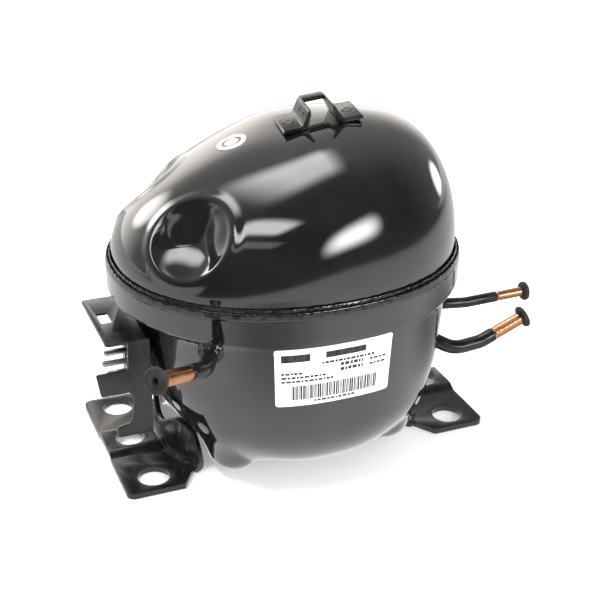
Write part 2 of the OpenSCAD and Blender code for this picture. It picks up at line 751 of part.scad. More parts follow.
module braze_rings() {
    color([0.12, 0.11, 0.1]) {
        braze(suction_path, suction_d, leave(suction_path, 2.4));
        braze(discharge_path, discharge_d, leave(discharge_path, 1.5));
        braze(process_path, process_d, 9);
    }
}

// Labels

module rating_label() {
    bearings = [-114 : step : -72];
    rows = [label_z0, band_z - 6, label_z1];
    color([0.9, 0.9, 0.88]) sheet([for (t = bearings) [for (z = rows) wall_pt(t, z, label_t + 0.05)]],
        [for (t = bearings) [for (z = rows) wall_pt(t, z, 0.05)]]);
}

module round_sticker() {
    th = 163;
    p = 70.5;
    color([0.9, 0.9, 0.88]) along(dome_at(th, p, 0), dome_normal(th, p))
        cylinder(h = label_t * 2, d = sticker_d);
}

// Suspension

module at_bolts() {
    for (x = [-bolt_half, bolt_half], y = [-bolt_half, bolt_half]) translate([x, y, 0]) children();
}

// Stud and disc of a spring seat, grown by d for the recess that takes them
module seat_base(d) {
    translate([0, 0, stud_z - d]) cylinder(h = seat_z - stud_z + d, r = stud_r + d);
    translate([0, 0, seat_z - d]) cylinder(h = spring_z - seat_z + d, r = spring_d / 2 + 2 + d);
}

module spring_seats() {
    color([0.4, 0.4, 0.42]) at_bolts() {
        seat_base(0);
        translate([0, 0, spring_z]) cylinder(h = 5, r = spring_d / 2 - wire_d / 2 - 0.3);
    }
}

module suspension_springs() {
    color([0.6, 0.6, 0.62]) at_bolts() translate([0, 0, spring_z]) difference() {
        cylinder(h = spring_len, r = spring_d / 2 + wire_d / 2);
        translate([0, 0, -1]) cylinder(h = spring_len + 2, r = spring_d / 2 - wire_d / 2);
    }
}

module spring_caps() {
    color([0.85, 0.85, 0.82]) at_bolts() translate([0, 0, stack_z - cap_t]) difference() {
        cylinder(h = cap_t, r = spring_d / 2 + 1.6);
        translate([0, 0, -1]) cylinder(h = cap_t + 2, r = bolt_r + 2 + snug);
    }
}

module stator_bolts() {
    color([0.5, 0.5, 0.52]) at_bolts() {
        translate([0, 0, stack_z - cap_t - 3]) cylinder(h = cap_t + 3, r = bolt_r + 2);
        translate([0, 0, stack_z]) cylinder(h = deck_z - stack_z - 3, r = bolt_r);
    }
}

// Motor

module stator_core() {
    color([0.42, 0.42, 0.44]) translate([0, 0, stack_z]) difference() {
        linear_extrude(stack_h) intersection() {
            square(2 * stator_half, center = true);
            circle(stator_half * 1.28);
        }
        translate([0, 0, -1]) cylinder(h = stack_h + 2, r = rotor_d / 2 + air_gap);
        translate([0, 0, -1]) at_bolts() cylinder(h = stack_h + 2, r = bolt_r + 0.1);
    }
}

module winding(z, h) {
    color([0.62, 0.3, 0.16]) translate([0, 0, z]) rotate_extrude() difference() {
        translate([winding_in, 0]) square([winding_out - winding_in, h]);
        translate([winding_out, h]) circle(2);
        translate([winding_out, 0]) circle(2);
    }
}

module upper_winding() {
    winding(stack_top, 13);
}

module lower_winding() {
    winding(stack_z - 10, 10);
}

module rotor_core() {
    color([0.45, 0.45, 0.47]) translate([0, 0, stack_z + 1]) difference() {
        cylinder(h = stack_h - 2, d = rotor_d);
        translate([0, 0, -1]) cylinder(h = stack_h, r = shaft_r + snug);
    }
}

module rotor_rings() {
    color([0.75, 0.76, 0.78]) for (z = [stack_z - 5, stack_top - 1]) translate([0, 0, z]) difference() {
        cylinder(h = 6, d = rotor_d - 6);
        translate([0, 0, -1]) cylinder(h = 8, d = rotor_d - 20);
    }
}

module crankshaft() {
    color([0.55, 0.55, 0.57]) difference() {
        union() {
            translate([0, 0, stack_z - 4]) cylinder(h = 8, r = shaft_r - 2);
            translate([0, 0, stack_z + 3]) cylinder(h = deck_z - stack_z - 2, r = shaft_r);
            translate([0, 0, web_z]) cylinder(h = web_t, r = crank_e + crankpin_d / 2);
            translate([crank_e, 0, web_z]) cylinder(h = crankpin_top - web_z, d = crankpin_d);
        }
        translate([crank_e / 2, 0, crankpin_top - 3.5]) cylinder(h = 6, r = 1.5 + run_fit);
    }
}

module counterweight() {
    web_r = crank_e + crankpin_d / 2;
    color([0.35, 0.35, 0.37]) translate([0, 0, web_z]) rotate([0, 0, 110]) rotate_extrude(angle = 140)
        translate([web_r + snug, 0]) square([weight_r - web_r - snug, web_t + 4]);
}

module oil_pickup() {
    z0 = stack_z - 18;
    color([0.7, 0.7, 0.72]) translate([0, 0, z0]) difference() {
        union() {
            cylinder(h = 6, r1 = 3, r2 = shaft_r - 1);
            translate([0, 0, 6]) cylinder(h = 15, r = shaft_r - 1);
        }
        translate([0, 0, 14]) cylinder(h = 20, r = shaft_r - 2 + snug);
        translate([0, 0, -1]) cylinder(h = 16, r = 2);
    }
}

module gallery_plug() {
    color([0.8, 0.65, 0.3]) translate([crank_e / 2, 0, crankpin_top - 3.4]) cylinder(h = 3.4, r = 1.5);
}

// Pump

module crankcase() {
    color([0.33, 0.33, 0.34]) difference() {
        union() {
            translate([-case_x, -case_y, plate_z]) cube([2 * case_x, 2 * case_y, plate_t]);
            translate([0, 0, plate_z - hub_drop]) cylinder(h = hub_drop + 1, r = shaft_r + 5);
            translate([0, 0, stack_top]) at_bolts() cylinder(h = post_h + 1, r = bolt_r + 4);
            translate([barrel_x, 0, cyl_z]) rotate([0, 90, 0])
                cylinder(h = seat_x - barrel_x, r = bore_d / 2 + 6.5);
            translate([barrel_x, -15, deck_z - 1]) cube([seat_x - barrel_x, 30, cyl_up + 1]);
            translate([seat_x - 8, -head_half, deck_z - 1]) cube([8, 2 * head_half, cyl_up + head_half]);
        }
        translate([0, 0, plate_z - hub_drop - 1]) cylinder(h = 60, r = shaft_r + run_fit);
        translate([barrel_x - 1, 0, cyl_z]) rotate([0, 90, 0]) cylinder(h = 60, r = bore_d / 2 + run_fit);
        translate([0, 0, stack_top - 1]) at_bolts() cylinder(h = deck_z - stack_top - 2, r = bolt_r);
        translate([seat_x - 7, 0, 0]) at_head() cylinder(h = 8, r = 2.5 + snug);
    }
}

module at_head() {
    for (y = [-1, 1], z = [-1, 1]) translate([0, y * head_bolt_at, cyl_z + z * head_bolt_at])
        rotate([0, 90, 0]) children();
}

module head_slab(x, t) {
    translate([x, -head_half, cyl_z - head_half + 1]) cube([t, 2 * head_half, 2 * head_half - 2]);
}

module plenums(x, t) {
    for (y = [-head_half + 3, 1.5]) translate([x, y, cyl_z - plenum_h / 2])
        cube([t, head_half - 4.5, plenum_h]);
}

module valve_plate() {
    color([0.5, 0.5, 0.52]) difference() {
        head_slab(seat_x, valve_t);
        translate([seat_x - 1, 0, 0]) at_head() cylinder(h = 9, r = 2.5 + snug);
        translate([seat_x - 1, suction_port_y, cyl_z - 6]) rotate([0, 90, 0]) cylinder(h = 9, r = 3);
        translate([seat_x - 1, -discharge_port_y, cyl_z - 6]) rotate([0, 90, 0]) cylinder(h = 9, r = 2.5);
    }
}

module head_gasket() {
    color([0.25, 0.25, 0.22]) difference() {
        head_slab(seat_x + valve_t, gasket_t);
        translate([seat_x, 0, 0]) at_head() cylinder(h = 9, r = 2.5 + snug);
        plenums(seat_x, 9);
    }
}

module cylinder_head() {
    color([0.4, 0.4, 0.41]) difference() {
        head_slab(head_x, head_len);
        translate([seat_x, 0, 0]) at_head() cylinder(h = head_x + head_len, r = 2.5 + snug);
        plenums(head_x - 1, head_len - 1.5);
    }
}

module head_bolts() {
    color([0.5, 0.5, 0.52]) {
        translate([seat_x - 6, 0, 0]) at_head() cylinder(h = head_x + head_len - seat_x + 6, r = 2.5);
        translate([head_x + head_len, 0, 0]) at_head() cylinder(h = 3.5, r = 4.2);
    }
}

// Reed tongue over a port, hinged at its upper end
module reed(x, y) {
    translate([x, y - 4, cyl_z - 6]) cube([reed_t, 8, 13]);
    translate([x, y, cyl_z - 6]) rotate([0, 90, 0]) cylinder(h = reed_t, r = 4);
}

module suction_reed() {
    color([0.7, 0.7, 0.75]) reed(seat_x - reed_t, suction_port_y);
}

module discharge_reed() {
    color([0.7, 0.7, 0.75]) reed(seat_x + valve_t, -discharge_port_y);
}

module suction_muffler() {
    y0 = head_half + 4;
    color([0.88, 0.88, 0.84]) {
        translate([seat_x - 21, y0, deck_z + 3]) cube([26, 14, 34]);
        translate([seat_x + 1, y0, cyl_z - 7]) cube([11, 8, 14]);
        translate([head_x + head_len / 2, head_half, cyl_z]) rotate([-90, 0, 0]) cylinder(h = 5, r = 3.2);
    }
}

module discharge_muffler() {
    color([0.5, 0.5, 0.52]) translate([20, -head_half - 11, deck_z]) {
        cylinder(h = 22, r = 11);
        translate([0, 0, 22]) cylinder(h = 2, r1 = 11, r2 = 7);
    }
}

module discharge_loop() {
    y0 = -head_half - 22;
    z0 = deck_z + 12;
    d0 = discharge_path[0];
    color([0.72, 0.4, 0.25]) bar([[20, y0, z0], [20, y0 - 11, z0], [52, -49, z0 - 5], [52, -49, d0[2] + 7],
        d0 - 9 * unit(discharge_path[1] - d0), d0], loop_d / 2, 7);
}

module slide_block() {
    color([0.6, 0.6, 0.55]) difference() {
        translate([crank_e, 0, cyl_z]) rotate([90, 0, 0]) cylinder(h = 18, r = block_r, center = true);
        translate([crank_e, 0, cyl_z - 20]) cylinder(h = 40, r = crankpin_d / 2 + run_fit);
    }
}

module yoke() {
    color([0.5, 0.52, 0.55]) difference() {
        translate([crank_e, 0, cyl_z]) rotate([90, 0, 0]) cylinder(h = yoke_len, r = yoke_r, center = true);
        translate([crank_e, 0, cyl_z]) rotate([90, 0, 0])
            cylinder(h = yoke_len + 2, r = block_r + 0.05, center = true);
        translate([crank_e - crankpin_d / 2 - 0.6, -crankpin_d / 2 - crank_e - 0.6, cyl_z - 20])
            cube([crankpin_d + 1.2, crankpin_d + stroke + 1.2, 20]);
    }
}

module piston() {
    color([0.6, 0.62, 0.65]) difference() {
        translate([crank_e + 8, 0, cyl_z]) rotate([0, 90, 0]) cylinder(h = crown_x - crank_e - 8, d = bore_d);
        translate([crank_e, 0, cyl_z]) rotate([90, 0, 0])
            cylinder(h = yoke_len, r = yoke_r + snug, center = true);
    }
}

upper_shell();
lower_shell();
seam_weld();
lifting_bracket();
left_foot();
right_foot();
terminal_fence();
terminal_cup();
terminal_glass();
terminal_pins();
connector_block();
lead_bundle();
suction_tube();
suction_stub();
suction_plug();
discharge_tube();
discharge_stub();
discharge_plug();
process_tube();
process_stub();
process_plug();
braze_rings();
rating_label();
round_sticker();
spring_seats();
suspension_springs();
discharge_loop();
crankcase();
stator_core();
upper_winding();
lower_winding();
stator_bolts();
spring_caps();
valve_plate();
head_gasket();
cylinder_head();
head_bolts();
suction_muffler();
discharge_muffler();
suction_reed();
discharge_reed();
crankshaft();
counterweight();
rotor_core();
rotor_rings();
oil_pickup();
gallery_plug();
slide_block();
piston();
yoke();
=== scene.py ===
"""Looks of the hermetic reciprocating compressor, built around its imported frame.

Sizes are in millimetres until a mesh is made. X runs along the shell, Z is up, the floor is z = 0.
"""
import json
from math import atan2, cos, hypot, pi, radians, sin, sqrt, tan

import bmesh
import bpy
from mathutils import Matrix, Vector, noise


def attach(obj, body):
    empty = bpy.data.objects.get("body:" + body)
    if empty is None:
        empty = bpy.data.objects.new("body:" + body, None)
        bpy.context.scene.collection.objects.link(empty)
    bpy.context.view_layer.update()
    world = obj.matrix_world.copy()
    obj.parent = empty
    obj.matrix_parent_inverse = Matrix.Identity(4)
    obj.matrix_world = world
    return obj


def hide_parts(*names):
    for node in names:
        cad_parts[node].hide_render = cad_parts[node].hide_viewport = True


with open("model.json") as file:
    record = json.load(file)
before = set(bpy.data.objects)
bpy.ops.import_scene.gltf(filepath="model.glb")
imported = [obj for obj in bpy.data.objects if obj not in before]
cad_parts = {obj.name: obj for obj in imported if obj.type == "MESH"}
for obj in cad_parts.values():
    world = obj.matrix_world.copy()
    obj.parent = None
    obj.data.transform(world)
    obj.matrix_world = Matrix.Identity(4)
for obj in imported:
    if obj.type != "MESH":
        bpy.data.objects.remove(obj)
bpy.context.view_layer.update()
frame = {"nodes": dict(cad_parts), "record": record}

MM = 0.001
SHELL = "shell"

# Shell sizes, as in the solids
SHELL_T = 3.0
SEAM_A, SEAM_B, SEAM_N, SEAM_Z = 87.5, 74.5, 2.12, 98.5
RIM_A, RIM_B = SEAM_A + 2.9, SEAM_B + 2.9
DOME_Z, DOME_H = 106.8, 56.1
DOME_LONG, DOME_WIDE, DOME_N = 2.06, 3.22, 1.7
DOME_TILT, DOME_FULL, DOME_SHIFT = 0.343, 0.145, 4.2
BODY_A, BODY_B, BODY_N = 80.0, 77.0, 2.4
END_FILLET, SIDE_FILLET = 48.0, 32.0
END_DRAFT, SIDE_DRAFT = radians(5.5), radians(1.5)
BOTTOM_Z, BAND_Z, SKIRT_Z = 6.0, 86.5, 90.0
POCKETS = [Vector((x, y, 16.7)) for x in (-41.5, 41.5) for y in (-39.5, 39.5)]
POCKET_R, POCKET_TOP, POCKET_BLEND, POCKET_FAR = 12.0, 40.0, 9.0, 38.0
SWELL_TOP, SWELL_FADE, SWELL_OUT, SWELL_EDGE = 46.0, 20.0, 27.0, 14.0


def mix(a, b, t):
    return a + (b - a) * t


def clamp(t, low=0.0, high=1.0):
    return max(low, min(high, t))


def smooth(t):
    t = clamp(t)
    return t * t * (3 - 2 * t)


def bump(d, width):
    """Rounded hump of height 1 at d = 0 that ends at width."""
    return smooth(1 - abs(d) / width)


def lookup(x, table):
    for (x0, y0), (x1, y1) in zip(table, table[1:]):
        if x <= x1:
            return mix(y0, y1, clamp((x - x0) / (x1 - x0)))
    return table[-1][1]


# Materials

def new_material(name):
    mat = bpy.data.materials.new(name)
    mat.use_nodes = True
    return mat, mat.node_tree, mat.node_tree.nodes["Principled BSDF"]


def set_inputs(node, values):
    for key, value in values.items():
        node.inputs[key].default_value = value


def noise_node(tree, scale, detail, stretch=None):
    tex = tree.nodes.new("ShaderNodeTexNoise")
    set_inputs(tex, {"Scale": scale, "Detail": detail})
    coord = tree.nodes.new("ShaderNodeTexCoord")
    if stretch:
        mapping = tree.nodes.new("ShaderNodeMapping")
        mapping.inputs["Scale"].default_value = stretch
        tree.links.new(coord.outputs["Object"], mapping.inputs["Vector"])
        tree.links.new(mapping.outputs["Vector"], tex.inputs["Vector"])
    else:
        tree.links.new(coord.outputs["Object"], tex.inputs["Vector"])
    return tex


def ramp_node(tree, source, stops):
    """Blend between two colours, each with its place on the ramp."""
    ramp = tree.nodes.new("ShaderNodeValToRGB")
    for element, (place, colour) in zip(ramp.color_ramp.elements, stops):
        element.position = place
        element.color = (*colour, 1.0)
    tree.links.new(source, ramp.inputs["Fac"])
    return ramp


def range_node(tree, source, start, end, low, high):
    """Maps a value that runs from start to end to the span from low to high."""
    node = tree.nodes.new("ShaderNodeMapRange")
    set_inputs(node, {"From Min": start, "From Max": end, "To Min": low, "To Max": high})
    tree.links.new(source, node.inputs["Value"])
    return node


def bump_node(tree, shader, source, distance):
    node = tree.nodes.new("ShaderNodeBump")
    node.inputs["Distance"].default_value = distance
    tree.links.new(source, node.inputs["Height"])
    tree.links.new(node.outputs["Normal"], shader.inputs["Normal"])


COLOUR_FROM, COLOUR_TO = 0.38, 0.62
ROUGH_FROM, ROUGH_TO = 0.35, 0.65


def surface(name, dark, light, scale, rough, bump_mm, metallic=0.0, specular=0.5, coat=0.0,
            coat_rough=0.05, stretch=None, detail=4.0):
    """Noise-varied colour, roughness and bump over one principled shader."""
    mat, tree, shader = new_material(name)
    set_inputs(shader, {"Metallic": metallic, "Specular IOR Level": specular, "Coat Weight": coat,
                        "Coat Roughness": coat_rough})
    tex = noise_node(tree, scale, detail, stretch)
    ramp = ramp_node(tree, tex.outputs["Fac"], [(COLOUR_FROM, dark), (COLOUR_TO, light)])
    tree.links.new(ramp.outputs["Color"], shader.inputs["Base Color"])
    spread = range_node(tree, tex.outputs["Fac"], ROUGH_FROM, ROUGH_TO, *rough)
    tree.links.new(spread.outputs["Result"], shader.inputs["Roughness"])
    if bump_mm:
        bump_node(tree, shader, tex.outputs["Fac"], bump_mm * MM)
    return mat


# Dark and light colour, noise scale, span of roughness and bump height of each slot
MATERIALS = {
    "gloss_black": surface("gloss_enamel", (0.004, 0.004, 0.0043), (0.007, 0.007, 0.0072), 55.0,
                           (0.05, 0.09), 0.012, specular=1.0, coat=1.0, coat_rough=0.025, detail=2.0),
    "satin_black": surface("satin_enamel", (0.005, 0.005, 0.0055), (0.010, 0.010, 0.0105), 160.0,
                           (0.22, 0.34), 0.03, coat=0.3, coat_rough=0.14),
    "weld_black": surface("weld_enamel", (0.003, 0.003, 0.0032), (0.009, 0.009, 0.009), 260.0,
                          (0.14, 0.26), 0.1, specular=0.8, coat=0.8, coat_rough=0.08),
    "copper": surface("bright_copper", (0.62, 0.27, 0.15), (0.90, 0.46, 0.24), 120.0, (0.25, 0.40), 0.02,
                      metallic=1.0, stretch=(0.2, 1.0, 1.0)),
    "rubber": surface("matte_rubber", (0.015, 0.014, 0.014), (0.030, 0.029, 0.029), 220.0, (0.5, 0.7), 0.06,
                      specular=0.4),
    "label_white": surface("label_paper", (0.80, 0.80, 0.78), (0.86, 0.86, 0.84), 90.0, (0.35, 0.5), 0.006,
                           specular=0.4),
    "glass": surface("sealing_glass", (0.02, 0.05, 0.07), (0.05, 0.10, 0.12), 300.0, (0.06, 0.14), 0.01,
                     specular=0.6, coat=0.4),
    "pin_steel": surface("plated_pins", (0.52, 0.51, 0.48), (0.74, 0.73, 0.70), 240.0, (0.2, 0.36), 0.02,
                         metallic=1.0, stretch=(0.1, 1.0, 1.0)),
    "steel": surface("machined_steel", (0.36, 0.36, 0.37), (0.56, 0.56, 0.58), 180.0, (0.24, 0.42), 0.03,
                     metallic=1.0, stretch=(1.0, 1.0, 0.15)),
    "lamination": surface("stacked_laminations", (0.24, 0.24, 0.25), (0.46, 0.46, 0.48), 60.0,
                          (0.34, 0.5), 0.12, metallic=1.0, stretch=(0.05, 0.05, 24.0)),
    "cast": surface("grey_casting", (0.17, 0.17, 0.175), (0.30, 0.30, 0.305), 200.0, (0.48, 0.66), 0.25,
                    metallic=0.6),
    "winding": surface("enamelled_winding", (0.30, 0.10, 0.04), (0.58, 0.26, 0.12), 70.0, (0.2, 0.36), 0.4,
                       metallic=0.7, stretch=(1.0, 1.0, 9.0)),
    "rotor_alloy": surface("cast_aluminium", (0.60, 0.61, 0.63), (0.78, 0.79, 0.81), 150.0,
                           (0.36, 0.52), 0.1, metallic=1.0),
    "white_plastic": surface("moulded_plastic", (0.76, 0.76, 0.71), (0.86, 0.86, 0.82), 80.0,
                             (0.36, 0.5), 0.02),
}
INK = surface("label_ink", (0.012, 0.012, 0.013), (0.04, 0.04, 0.041), 400.0, (0.45, 0.6), 0.0,
              specular=0.3)

SLOT_OF = {row["node"]: row["material_slot"] for row in frame["record"]["subparts"]}
for node_name, node_object in frame["nodes"].items():
    node_object.data.materials.clear()
    node_object.data.materials.append(MATERIALS[SLOT_OF[node_name]])
    for polygon in node_object.data.polygons:
        polygon.material_index = 0


# Mesh helpers, all in millimetres

MERGE_WITHIN, POINT_R, NEEDLE_R = 0.001, 0.01, 0.02
X_AXIS, Z_AXIS = (1, 0, 0), (0, 0, 1)
HOLE_SIDES = 64


def make_object(name, bm, smooth_faces=True):
    mesh = bpy.data.meshes.new(name)
    bmesh.ops.scale(bm, vec=(MM, MM, MM), verts=bm.verts)
    bmesh.ops.recalc_face_normals(bm, faces=bm.faces)
    bm.to_mesh(mesh)
    bm.free()
    for polygon in mesh.polygons:
        polygon.use_smooth = smooth_faces
    obj = bpy.data.objects.new(name, mesh)
    bpy.context.scene.collection.objects.link(obj)
    return obj


def dress(obj, slot, *replaced, body=SHELL, material=None):
    obj.data.materials.clear()
    obj.data.materials.append(material or MATERIALS[slot])
    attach(obj, body)
    if replaced:
        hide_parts(*replaced)


def add_grid(bm, rows, wrap=False, close=False):
    """Quads over rows of points; wrap joins each row's ends, close joins the last row to the first."""
    grid = [[bm.verts.new(p) for p in row] for row in rows]
    count = len(grid[0])
    pairs = list(zip(grid, grid[1:])) + ([(grid[-1], grid[0])] if close else [])
    for low, high in pairs:
        for j in range(count if wrap else count - 1):
            k = (j + 1) % count
            bm.faces.new((low[j], low[k], high[k], high[j]))
    return grid


def cap(bm, ring, centre):
    tip = bm.verts.new(centre)
    for a, b in zip(ring, ring[1:] + ring[:1]):
        bm.faces.new((a, b, tip))


def bridge(bm, first, second):
    """Band of quads between two closed rings."""
    count = len(first)
    for k in range(count):
        j = (k + 1) % count
        bm.faces.new((first[k], first[j], second[j], second[k]))


def close_edges(bm, top, low):
    """Walls between the edges of two open grids of the same size."""
    for side in (0, -1):
        for i in range(len(top[0]) - 1):
            bm.faces.new((top[side][i], top[side][i + 1], low[side][i + 1], low[side][i]))
        for j in range(len(top) - 1):
            bm.faces.new((top[j][side], top[j + 1][side], low[j + 1][side], low[j][side]))


def full_turn(count):
    return [2 * pi * k / count for k in range(count)]


def frames(path):
    """Point and two cross axes along a path, without twist."""
    points = [Vector(p) for p in path]
    result = []
    side = None
    for i, p in enumerate(points):
        ahead = points[min(i + 1, len(points) - 1)] - points[max(i - 1, 0)]
        ahead.normalize()
        if side is None:
            side = ahead.orthogonal().normalized()
        side = (side - ahead * side.dot(ahead)).normalized()
        result.append((p, side, ahead.cross(side)))
    return result


def add_sweep(bm, path, radii, segments, capped=True):
    """Round section swept along a path, with one radius for each point."""
    rows = []
    for (p, u, v), r in zip(frames(path), radii):
        rows.append([p + r * (cos(a) * u + sin(a) * v) for a in full_turn(segments)])
    grid = add_grid(bm, rows, wrap=True)
    if capped:
        cap(bm, grid[0], path[0])
        cap(bm, grid[-1], path[-1])
    return grid


def lathe_rows(origin, axis, profile, segments, wobble=None):
    """Rings about an axis from (distance along, radius) pairs."""
    axis = Vector(axis).normalized()
    u = axis.orthogonal().normalized()
    v = axis.cross(u)
    rows = []
    for h, r in profile:
        row = []
        for a in full_turn(segments):
            q = Vector(origin) + axis * h + (cos(a) * u + sin(a) * v) * r
            if wobble:
                q += wobble(q)
            row.append(q)
        rows.append(row)
    return rows


def add_lathe(bm, origin, axis, profile, segments, wobble=None):
    rows = lathe_rows(origin, axis, profile, segments, wobble)
    grid = add_grid(bm, rows, wrap=True)
    axis = Vector(axis).normalized()
    for ring, (h, r) in ((grid[0], profile[0]), (grid[-1], profile[-1])):
        if r > NEEDLE_R:
            cap(bm, ring, Vector(origin) + axis * h)
    bmesh.ops.remove_doubles(bm, verts=bm.verts, dist=MERGE_WITHIN)


def arc(centre, radius, start, end, steps):
    """Points of a circular arc in a plane, angles in degrees."""
    angles = [radians(mix(start, end, i / steps)) for i in range(steps + 1)]
    return [(centre[0] + radius * cos(a), centre[1] + radius * sin(a)) for a in angles]


def prism(outline, z0, z1):
    """Closed prism over an outline in the XY plane."""
    bm = bmesh.new()
    low = [bm.verts.new((x, y, z0)) for x, y in outline]
    high = [bm.verts.new((x, y, z1)) for x, y in outline]
    bm.faces.new(low)
    bm.faces.new(high)
    bridge(bm, low, high)
    bmesh.ops.recalc_face_normals(bm, faces=bm.faces)
    return bm


def stand_up(bm):
    """Turns a lying outline so that its second axis points up."""
    bmesh.ops.rotate(bm, verts=bm.verts, cent=(0, 0, 0), matrix=Matrix.Rotation(pi / 2, 3, "X"))


def cut_round_edges(obj, cutters, width, segments, angle):
    """Cuts holes with boolean modifiers, then rounds every sharp edge."""
    for cutter in cutters:
        mod = obj.modifiers.new("cut", "BOOLEAN")
        mod.operation = "DIFFERENCE"
        mod.solver = "EXACT"
        mod.object = cutter
    mod = obj.modifiers.new("round", "BEVEL")
    mod.width = width * MM
    mod.segments = segments
    mod.limit_method = "ANGLE"
    mod.angle_limit = radians(angle)
    apply_modifiers(obj)
    for cutter in cutters:
        bpy.data.objects.remove(cutter)


def apply_modifiers(obj):
    bpy.context.view_layer.update()
    done = obj.evaluated_get(bpy.context.evaluated_depsgraph_get())
    mesh = bpy.data.meshes.new_from_object(done)
    obj.modifiers.clear()
    old = obj.data
    obj.data = mesh
    bpy.data.meshes.remove(old)
    for polygon in obj.data.polygons:
        polygon.use_smooth = True


def join(first, *others):
    """Adds the other objects' meshes to the first one."""
    bm = bmesh.new()
    for obj in (first, *others):
        obj.data.transform(obj.matrix_world)
        obj.matrix_world = Matrix.Identity(4)
        bm.from_mesh(obj.data)
    bm.to_mesh(first.data)
    bm.free()
    for obj in others:
        bpy.data.objects.remove(obj)


def round_cutter(origin, axis, radius, length):
    bm = bmesh.new()
    add_lathe(bm, origin, axis, [(0, radius), (length, radius)], HOLE_SIDES)
    return make_object("cutter", bm)


def rectangle(x0, y0, x1, y1):
    return [(x0, y0), (x1, y0), (x1, y1), (x0, y1)]


def box_cutter(low, high):
    return make_object("cutter", prism(rectangle(*low[:2], *high[:2]), low[2], high[2]))


def sharp_normals(obj, degrees):
    """Marks edges sharper than the angle so that flats stay flat and rounds stay smooth."""
    bm = bmesh.new()
    bm.from_mesh(obj.data)
    limit = radians(degrees)
    for edge in bm.edges:
        if len(edge.link_faces) == 2 and edge.calc_face_angle(0.0) > limit:
            edge.smooth = False
    bm.to_mesh(obj.data)
    bm.free()
    return obj


# Shell forms

def polar(t, a, b, n):
    """Distance from the centre of an oval to its edge at bearing t."""
    return ((abs(cos(t)) / a) ** n + (abs(sin(t)) / b) ** n) ** (-1 / n)


def oval(th, a, b, n, z):
    r = polar(th, 1, 1, n)
    return Vector((a * r * cos(th), b * r * sin(th), z))


def dome_at(th, p, inset=0.0):
    """Point of the plain dome at bearing th and rise angle p, in radians."""
    zz = sin(p) ** (2 / DOME_LONG)
    cp = max(cos(p), 0.0)
    r = polar(th, 1, 1, mix(SEAM_N, DOME_N, zz))
    x = (SEAM_A - inset) * cp ** (2 / DOME_LONG) * r * cos(th) + DOME_SHIFT * zz
    y = (SEAM_B - inset) * cp ** (2 / DOME_WIDE) * r * sin(th)
    u = x / SEAM_A
    return Vector((x, y, DOME_Z + (DOME_H * (1 + DOME_TILT * u + DOME_FULL * u * u) - inset) * zz))


DIMPLE_AT, DIMPLE_AXIS = (-59.3, -35.0, 127.4), (-0.68, -0.48, 0.55)
DIMPLE_RIGHT, DIMPLE_UP = (0.92, -0.39, 0.0), (0.17, 0.41, 0.90)
DIMPLE_LIP, DIMPLE_DEEP, DIMPLE_FULL = 21.0, 10.0, 1.9
DIMPLE_REACH, DIMPLE_END_X = DIMPLE_LIP + 10, -25.0
FACETS, FACET_STEEP = (9, 134, 253), 1.55
LIP_ROLL, LIP_H, LIP_OUT, LIP_WIDTH = 0.09, 0.6, 1.0, 4.5


def on_side(p, side):
    """Front place or direction for side 1, its mirror image at the rear for side -1."""
    return Vector((p[0], p[1] * side, p[2]))


def dimple_shift(q, side):
    """Push of one pressed dimple: a three-sided pit inside a rolled lip."""
    axis = on_side(DIMPLE_AXIS, side).normalized()
    away = q - on_side(DIMPLE_AT, side)
    flat = away - axis * away.dot(axis)
    d = flat.length
    if d > DIMPLE_REACH:
        return Vector((0, 0, 0))
    right, up = on_side(DIMPLE_RIGHT, side), on_side(DIMPLE_UP, side)
    facet = 0.0
    for degrees in FACETS:
        n = right * cos(radians(degrees)) + up * sin(radians(degrees))
        n = (n - axis * n.dot(axis)).normalized()
        facet = max(facet, FACET_STEEP * flat.dot(n))
    reach = mix(facet, d, smooth(d / DIMPLE_LIP))
    t = clamp(1 - reach / DIMPLE_LIP)
    rolled = (1 + LIP_ROLL) * t * t / (t + LIP_ROLL)
    pit = DIMPLE_DEEP * (1 - max(0.0, 1 - rolled) ** DIMPLE_FULL)
    lip = LIP_H * bump(d - DIMPLE_LIP - LIP_OUT, LIP_WIDTH)
    return axis * (lip - pit)


def dome_point(th, p, inset=0.0):
    """Point of the dome with its two dimples."""
    q = dome_at(th, p)
    if q.x > DIMPLE_END_X:
        return dome_at(th, p, inset)
    return dome_at(th, p, inset) + dimple_shift(q, 1) + dimple_shift(q, -1)


TURN_STEP = 0.01


def dome_normal(th, p):
    along = dome_at(th + TURN_STEP, p) - dome_at(th - TURN_STEP, p)
    rise = dome_at(th, p + TURN_STEP) - dome_at(th, p - TURN_STEP)
    return along.cross(rise).normalized()


def fillet_inset(r, h):
    """How far a fillet of radius r draws the wall in at height h above the bottom."""
    if h >= r:
        return 0.0
    return r - sqrt(max(0.0, r * r - (r - h) ** 2))


def body_row(z, d=0.0):
    """Half length, half width and squareness of the plain cup at a height, drawn in by d."""
    h = z - BOTTOM_Z - d
    drop = BAND_Z - z
    return (BODY_A - d - drop * tan(END_DRAFT) - fillet_inset(END_FILLET - d, h),
            BODY_B - d - drop * tan(SIDE_DRAFT) - fillet_inset(SIDE_FILLET - d, h), BODY_N)


FLARE = [(BAND_Z + rise, share) for rise, share in
         ((-6, 0.0), (-3, 0.08), (-1.6, 0.35), (-0.4, 0.85), (0.8, 1.0))]


def wall_row(z):
    """Half length, half width and squareness of the lower shell's outside at a height."""
    a, b, n = body_row(z)
    t = lookup(z, FLARE) if z > FLARE[0][0] else 0.0
    return mix(a, RIM_A, t), mix(b, RIM_B, t), mix(n, SEAM_N, t)


def wall_point(th, z, d=0.0):
    a, b, n = wall_row(z)
    return oval(th, a + d, b + d, n, z)


BEARINGS = full_turn(360)
DOME_TOP, DOME_ROWS, INNER_ROWS = radians(89.2), 120, 88


def ring(a, b, n, z):
    return [oval(th, a, b, n, z) for th in BEARINGS]


